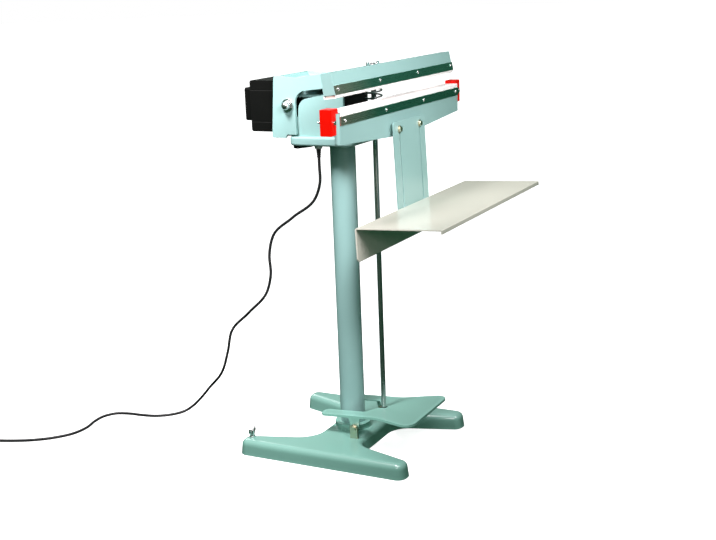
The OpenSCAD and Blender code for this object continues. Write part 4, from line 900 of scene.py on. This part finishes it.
class SEALER_OT_supply_cord(bpy.types.Operator):
    """Supply cord from its gland, down to the floor and into a tied coil with its plug"""
    bl_idname = "sealer.supply_cord"
    bl_label = "Supply cord"

    # Straight lengths at the gland and before the coil, and the steps of the coil
    STRAIGHT = 8
    RUN_IN = 30
    STEPS = 72
    # Hanging length under the head, then the loose curves on the floor
    ROUTE = (
        (-55, 34, 690), (-55, 34, 655), (-53, 49, 616), (-42, 121, 562), (-33, 183, 512), (-31, 198, 462),
        (-31, 197, 415), (-28, 212, 368), (-19, 276, 304), (-12, 335, 248), (-9, 353, 190), (-5, 378, 130),
        (3, 427, 78), (7, 460, 43), (5, 482, 22), (-3, 499, 9), (-17, 513, 4), (-40, 530, 3.6),
        (-60, 560, 3.6), (-69, 603, 3.6), (-73, 642, 3.6), (-85, 673, 3.6), (-113, 690, 3.6),
        (-152, 690, 3.6), (-198, 680, 3.6), (-246, 686, 3.6), (-288, 714, 3.6), (-322, 756, 3.6),
        (-346, 804, 3.8))

    def points(self):
        """The cord's way from the gland to the plug, in metres."""
        start = Vector(GLAND_END)
        loose = [start, start - Vector((0, 0, self.STRAIGHT)), *(Vector(point) for point in self.ROUTE)]
        coil_in = coil_point(0) - coil_heading(0) * COIL_LEAD
        coil = [coil_point(COIL_TURNS * step / self.STEPS) for step in range(self.STEPS + 1)]
        way = [*loose, coil_in - coil_heading(0) * self.RUN_IN, coil_in, *coil, coil_exit()]
        return [point * MM for point in way]

    def execute(self, context):
        width = context.scene.sealer_pieces.cord_width
        points = self.points()
        cord, spline = round_curve("supply_cord", width, 4, "BEZIER")
        cord.data.resolution_u = 8
        spline.bezier_points.add(len(points) - 1)
        for index, (knot, point) in enumerate(zip(spline.bezier_points, points)):
            before, heading, after = self.slope(points, index)
            knot.handle_left_type = "FREE"
            knot.handle_right_type = "FREE"
            knot.co = point
            knot.handle_left = point - heading * before / 3
            knot.handle_right = point + heading * after / 3
        spans = zip(spline.bezier_points, spline.bezier_points[1:])
        length = sum(self.arc(first, second) for first, second in spans)
        settled(cord, "stand", "black_rubber", ("cord", "cord_coil"))
        return {"FINISHED"}

    def slope(self, points, index):
        """The cord's heading at a point, with the distances to the points before and after it."""
        point = points[index]
        step_in = point - points[index - 1] if index else points[1] - point
        step_out = points[index + 1] - point if index + 1 < len(points) else step_in
        before = step_in.length
        after = step_out.length
        heading = (step_in * after / before + step_out * before / after) / (before + after)
        return before, heading, after

    def arc(self, first, second):
        """Length of the cord between two of its points."""
        a, b, c, d = first.co, first.handle_right, second.handle_left, second.co
        steps = 24
        spots = []
        for step in range(steps + 1):
            t = step / steps
            s = 1 - t
            spots.append(a * s ** 3 + b * 3 * s * s * t + c * 3 * s * t * t + d * t ** 3)
        return sum((q - p).length for p, q in zip(spots, spots[1:]))


class SEALER_OT_return_spring(bpy.types.Operator):
    """Return spring round the pull rod, with closed ends"""
    bl_idname = "sealer.return_spring"
    bl_label = "Return spring"

    # Outer radius and place of the rod in metres, and the share of the length that is left when shut
    RADIUS = 0.021
    ROD_Y = -0.086
    SHUT = 0.775
    # Curls at each end that lie flat, and steps of a curl
    FLAT = 0.75
    STEPS = 24

    def spots(self, low, high, wire, curls):
        """Points of the wire's middle between two heights."""
        radius = self.RADIUS - wire / 2
        steps = self.STEPS * curls
        foot = low + wire / 2
        rise = high - low - wire
        flat = self.FLAT
        spots = []
        for step in range(steps + 1):
            turn = curls * step / steps
            share = turn - flat * math.tanh(turn / flat) + flat * math.tanh((curls - turn) / flat) - flat
            share /= curls - 2 * flat
            angle = 2 * math.pi * turn
            spots.append((
                radius * math.cos(angle), radius * math.sin(angle) + self.ROD_Y,
                foot + rise * min(max(share, 0), 1)))
        return spots

    def execute(self, context):
        pieces = context.scene.sealer_pieces
        low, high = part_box("return_spring")
        spots = self.spots(low.z, high.z, pieces.spring_wire, pieces.spring_curls)
        spring, spline = round_curve("compression_spring", pieces.spring_wire, 3, "POLY")
        spline.points.add(len(spots) - 1)
        for knot, spot in zip(spline.points, spots):
            knot.co = (*spot, 1)
        select(spring)
        bpy.ops.object.convert(target="MESH")
        spring = smoothed(context.object, 60)
        settled(spring, "stand", "steel", ("return_spring",))
        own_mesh(spring)
        return {"FINISHED"}


class SEALER_OT_jaw_cloths(bpy.types.Operator):
    """Coated cloths over both jaws, folded round their edges"""
    bl_idname = "sealer.jaw_cloths"
    bl_label = "Jaw cloths"

    # Half lengths and the radius of a fold in millimetres, steps of a fold and cuts along the length
    LOWER_HALF = 314.7
    UPPER_HALF = 313
    FOLD = 1.2
    FOLD_STEPS = 4
    CUTS = 59

    def folded(self, name, half, path, thickness):
        """A strip of cloth along the jaw, folded along a path of (y, z) points in millimetres."""
        obj = added(
            name, bpy.ops.mesh.primitive_plane_add, size=2 * half * MM, location=(0, half * MM, 0))
        bpy.ops.object.transform_apply()
        edit(obj, "VERT", lambda vert: vert.co.y > MM)
        bpy.ops.mesh.delete(type="VERT")
        bpy.ops.mesh.select_all(action="SELECT")
        bpy.ops.transform.translate(value=mm(0, *path[0]))
        for (y, z), (next_y, next_z) in zip(path, path[1:]):
            bpy.ops.mesh.extrude_region_move(TRANSFORM_OT_translate={"value": mm(0, next_y - y, next_z - z)})
        done()
        edit(obj, "EDGE", lambda edge: abs(edge.verts[0].co.x - edge.verts[1].co.x) > MM)
        bpy.ops.mesh.subdivide(number_cuts=self.CUTS)
        done()
        fold = obj.modifiers.new("Thickness", "SOLIDIFY")
        fold.thickness = thickness
        fold.offset = 0
        bpy.ops.object.modifier_apply(modifier=fold.name)
        return smoothed(obj, 40)

    def corner(self, at, before, after):
        """Points of a rounded fold between two directions."""
        start = Vector(at) + Vector(before) * self.FOLD
        end = Vector(at) + Vector(after) * self.FOLD
        spots = []
        for step in range(self.FOLD_STEPS + 1):
            t = step / self.FOLD_STEPS
            spots.append(tuple(start * (1 - t) ** 2 + Vector(at) * 2 * t * (1 - t) + end * t * t))
        return spots

    def section(self, front, back, face, front_end, back_end):
        """The way round a jaw: from the front end to the face, across it and back, in millimetres."""
        side = 1 if front_end > face else -1
        return [
            (front, front_end), *self.corner((front, face), (0, side), (1, 0)),
            *self.corner((back, face), (-1, 0), (0, side)), (back, back_end)]

    def run(self, path):
        """Length of a path in metres."""
        return sum((Vector(b) - Vector(a)).length for a, b in zip(path, path[1:])) * MM

    def execute(self, context):
        thickness = context.scene.sealer_pieces.cloth_thickness
        lower = self.section(front=-163.4, back=-122.6, face=849.6, front_end=826, back_end=833)
        upper = self.section(front=-156.6, back=-129.4, face=850.7, front_end=857.1, back_end=857.1)
        low = self.folded("lower_jaw_cloth", self.LOWER_HALF, lower, thickness)
        settled(low, "stand", "white_cloth", ("lower_cloth",))
        self.run(lower)
        up = placed(self.folded("upper_jaw_cloth", self.UPPER_HALF, upper, thickness), OPENED)
        settled(up, "arm", "white_cloth", ("upper_cloth",))
        self.run(upper)
        return {"FINISHED"}


class SEALER_OT_clamp_screws(bpy.types.Operator):
    """Pan head screws with a cross recess along both clamp strips"""
    bl_idname = "sealer.clamp_screws"
    bl_label = "Clamp screws"

    # Depth and height of each row in millimetres, and degrees from one recess to the next
    LOWER_ROW = (-165.8, 831.5)
    UPPER_ROW = (-159, 868.1)
    FIRST_TURN = 23
    NEXT_TURN = 37

    def screw(self, width):
        """One screw, its head to the front."""
        r = width / 2 / MM
        head = turned("clamp_screw", (
            (2.0, -2.0), (2.0, 0.0), (r, 0.0), (r, 0.5), (r * 0.96, 1.0), (r * 0.84, 1.6), (r * 0.62, 2.1),
            (r * 0.34, 2.4)), 28)
        for low, high in (((-2.2, -0.5, 1.2), (2.2, 0.5, 4)), ((-0.5, -2.2, 1.2), (0.5, 2.2, 4))):
            cut(head, boxed("recess", low, high))
        return smoothed(placed(head, spin(90, "X")), 30)

    def row(self, name, width, spot, matrix, body, node):
        """The screws of one strip, each with its recess turned another way."""
        model = self.screw(width)
        copies = []
        for number, x in enumerate(CLAMP_SCREWS):
            turn = spin(self.FIRST_TURN + self.NEXT_TURN * number, "Y")
            copies.append(copied(model, matrix @ shift(x, *spot) @ turn))
        bpy.data.objects.remove(model)
        settled(joined(name, copies), body, "chrome", (node,))

    def execute(self, context):
        width = context.scene.sealer_pieces.screw_head
        upright = Matrix.Identity(4)
        self.row("lower_clamp_screws", width, self.LOWER_ROW, upright, "stand", "lower_strip_screws")
        self.row("upper_clamp_screws", width, self.UPPER_ROW, UPPER_FACE, "arm", "upper_strip_screws")
        return {"FINISHED"}


class SEALER_OT_controls(bpy.types.Operator):
    """Fluted timer knob, its printed dial and the marks on the power rocker"""
    bl_idname = "sealer.controls"
    bl_label = "Controls"

    # Marks of the dial, the degrees that they span, and the radius of their numbers in millimetres
    MARKS = 9
    SWEEP = 270
    NUMBERS = 23.0
    # Degrees by which the rocker is tipped and each half leans, and the place of a half's middle
    TIPPED = -8
    LEAN = 14.7
    HALF_Y = 5.5
    HALF_Z = 5.95
    # Height of a letter as a share of its type size, and how far it is raised in millimetres
    LETTER_SHARE = 0.7
    RAISED = 0.08

    def knob(self, flutes):
        """The knob with its grip bar, facing up at the origin."""
        knob = turned("timer_grip", (
            (17.0, 0.0), (17.0, 1.4), (16.4, 2.0), (15.0, 2.2), (15.0, 3.0), (14.4, 11.5), (13.4, 12.7),
            (12.0, 13.0), (9.0, 13.0)), flutes * 4)
        fluted(knob, flutes, low=2.9, high=12.8, waist=0.93)
        bar = boxed("grip_bar", (-11, -3, 12), (11, 3, 14), 0.6)
        return smoothed(joined("timer_grip", [knob, bar]), 32)

    def word(self, text, height, matrix):
        """A printed number or letter, raised by a fraction of a millimetre."""
        letter = added("letter", bpy.ops.object.text_add)
        letter.data.body = text
        letter.data.size = height * MM / self.LETTER_SHARE
        letter.data.align_x = "CENTER"
        letter.data.align_y = "CENTER"
        letter.data.extrude = self.RAISED * MM
        bpy.ops.object.convert(target="MESH")
        return placed(bpy.context.object, matrix)

    def dial(self):
        """Marks and their numbers round the knob, clockwise from the left."""
        face = shift(KNOB_CENTRE[0], PANEL_FACE, KNOB_CENTRE[2]) @ REAR
        marks = []
        for number in range(self.MARKS):
            degrees = 180 - self.SWEEP / (self.MARKS - 1) * number
            angle = math.radians(degrees)
            tick = boxed("tick", (18.0, -0.35, -0.05), (20.4, 0.35, 0.15), 0.04)
            marks.append(placed(tick, face @ spin(degrees, "Z")))
            spot = shift(self.NUMBERS * math.cos(angle), self.NUMBERS * math.sin(angle), 0.07)
            marks.append(self.word(str(number), 3.0, face @ spot))
        return joined("timer_dial", marks)

    def rocker_marks(self):
        """A bar and a ring on the two halves of the rocker."""
        rocker = shift(*ROCKER_CENTRE) @ spin(self.TIPPED, "X") @ REAR
        marks = []
        for text, side in (("I", 1), ("O", -1)):
            half = shift(0, self.HALF_Y * side, self.HALF_Z) @ spin(self.LEAN * side, "X")
            marks.append(self.word(text, 4.2, rocker @ half))
        return joined("rocker_marks", marks)

    def execute(self, context):
        behind = shift(*KNOB_CENTRE) @ REAR
        knob = placed(self.knob(context.scene.sealer_pieces.knob_flutes), behind)
        settled(knob, "knob", "black_plastic", ("timer_knob",))
        pointer = boxed("timer_pointer", (-11, -0.6, 13.6), (-3, 0.6, 14.2), 0.2)
        settled(placed(pointer, behind), "knob", "white_enamel", finish="print")
        settled(self.dial(), "stand", "white_enamel", finish="print")
        settled(self.rocker_marks(), "rocker", "white_enamel", finish="print")
        return {"FINISHED"}


class SEALER_OT_finishes(bpy.types.Operator):
    """Finishes of all nodes of the frame that still show"""
    bl_idname = "sealer.finishes"
    bl_label = "Finishes"

    def execute(self, context):
        for name, node in NODES.items():
            if node.hide_render:
                continue
            for slot in node.material_slots:
                kind = slot.material.name.split(".")[0]
                if kind == "teal_enamel" and name in FOOT_NODES:
                    kind = "foot_enamel"
                elif kind == "teal_enamel" and name in CAST_NODES:
                    kind = "cast_enamel"
                slot.material = finish_of(name if name in OWN_FINISH else kind)
            softened(node)
        deselect()
        return {"FINISHED"}


class SEALER_PT_panel(bpy.types.Panel):
    """Lists the sealer's operators and settings"""
    bl_label = "Sealer"
    bl_idname = "SEALER_PT_panel"
    bl_space_type = "VIEW_3D"
    bl_region_type = "UI"
    bl_category = "Sealer"

    def draw(self, context):
        scene = context.scene
        for operator in OPERATORS:
            self.layout.operator(operator.bl_idname)
        for settings in (scene.sealer_studio, scene.sealer_finishes, scene.sealer_pieces):
            box = self.layout.box()
            for key in settings.__annotations__:
                box.prop(settings, key)


SETTINGS = {
    "sealer_studio": SealerStudio,
    "sealer_finishes": SealerFinishes,
    "sealer_pieces": SealerPieces,
}
OPERATORS = (
    SEALER_OT_studio,
    SEALER_OT_mains_plug,
    SEALER_OT_supply_cord,
    SEALER_OT_cable_gland,
    SEALER_OT_return_spring,
    SEALER_OT_jaw_cloths,
    SEALER_OT_clamp_screws,
    SEALER_OT_controls,
    SEALER_OT_finishes,
)
CLASSES = (*SETTINGS.values(), *OPERATORS, SEALER_PT_panel)


def register():
    for kind in CLASSES:
        bpy.utils.register_class(kind)
    for name, kind in SETTINGS.items():
        setattr(bpy.types.Scene, name, PointerProperty(type=kind))


def unregister():
    for name in SETTINGS:
        delattr(bpy.types.Scene, name)
    for kind in reversed(CLASSES):
        bpy.utils.unregister_class(kind)


def main():
    register()
    for operator in OPERATORS:
        group, name = operator.bl_idname.split(".")
        getattr(getattr(bpy.ops, group), name)()


if __name__ == "__main__":
    main()
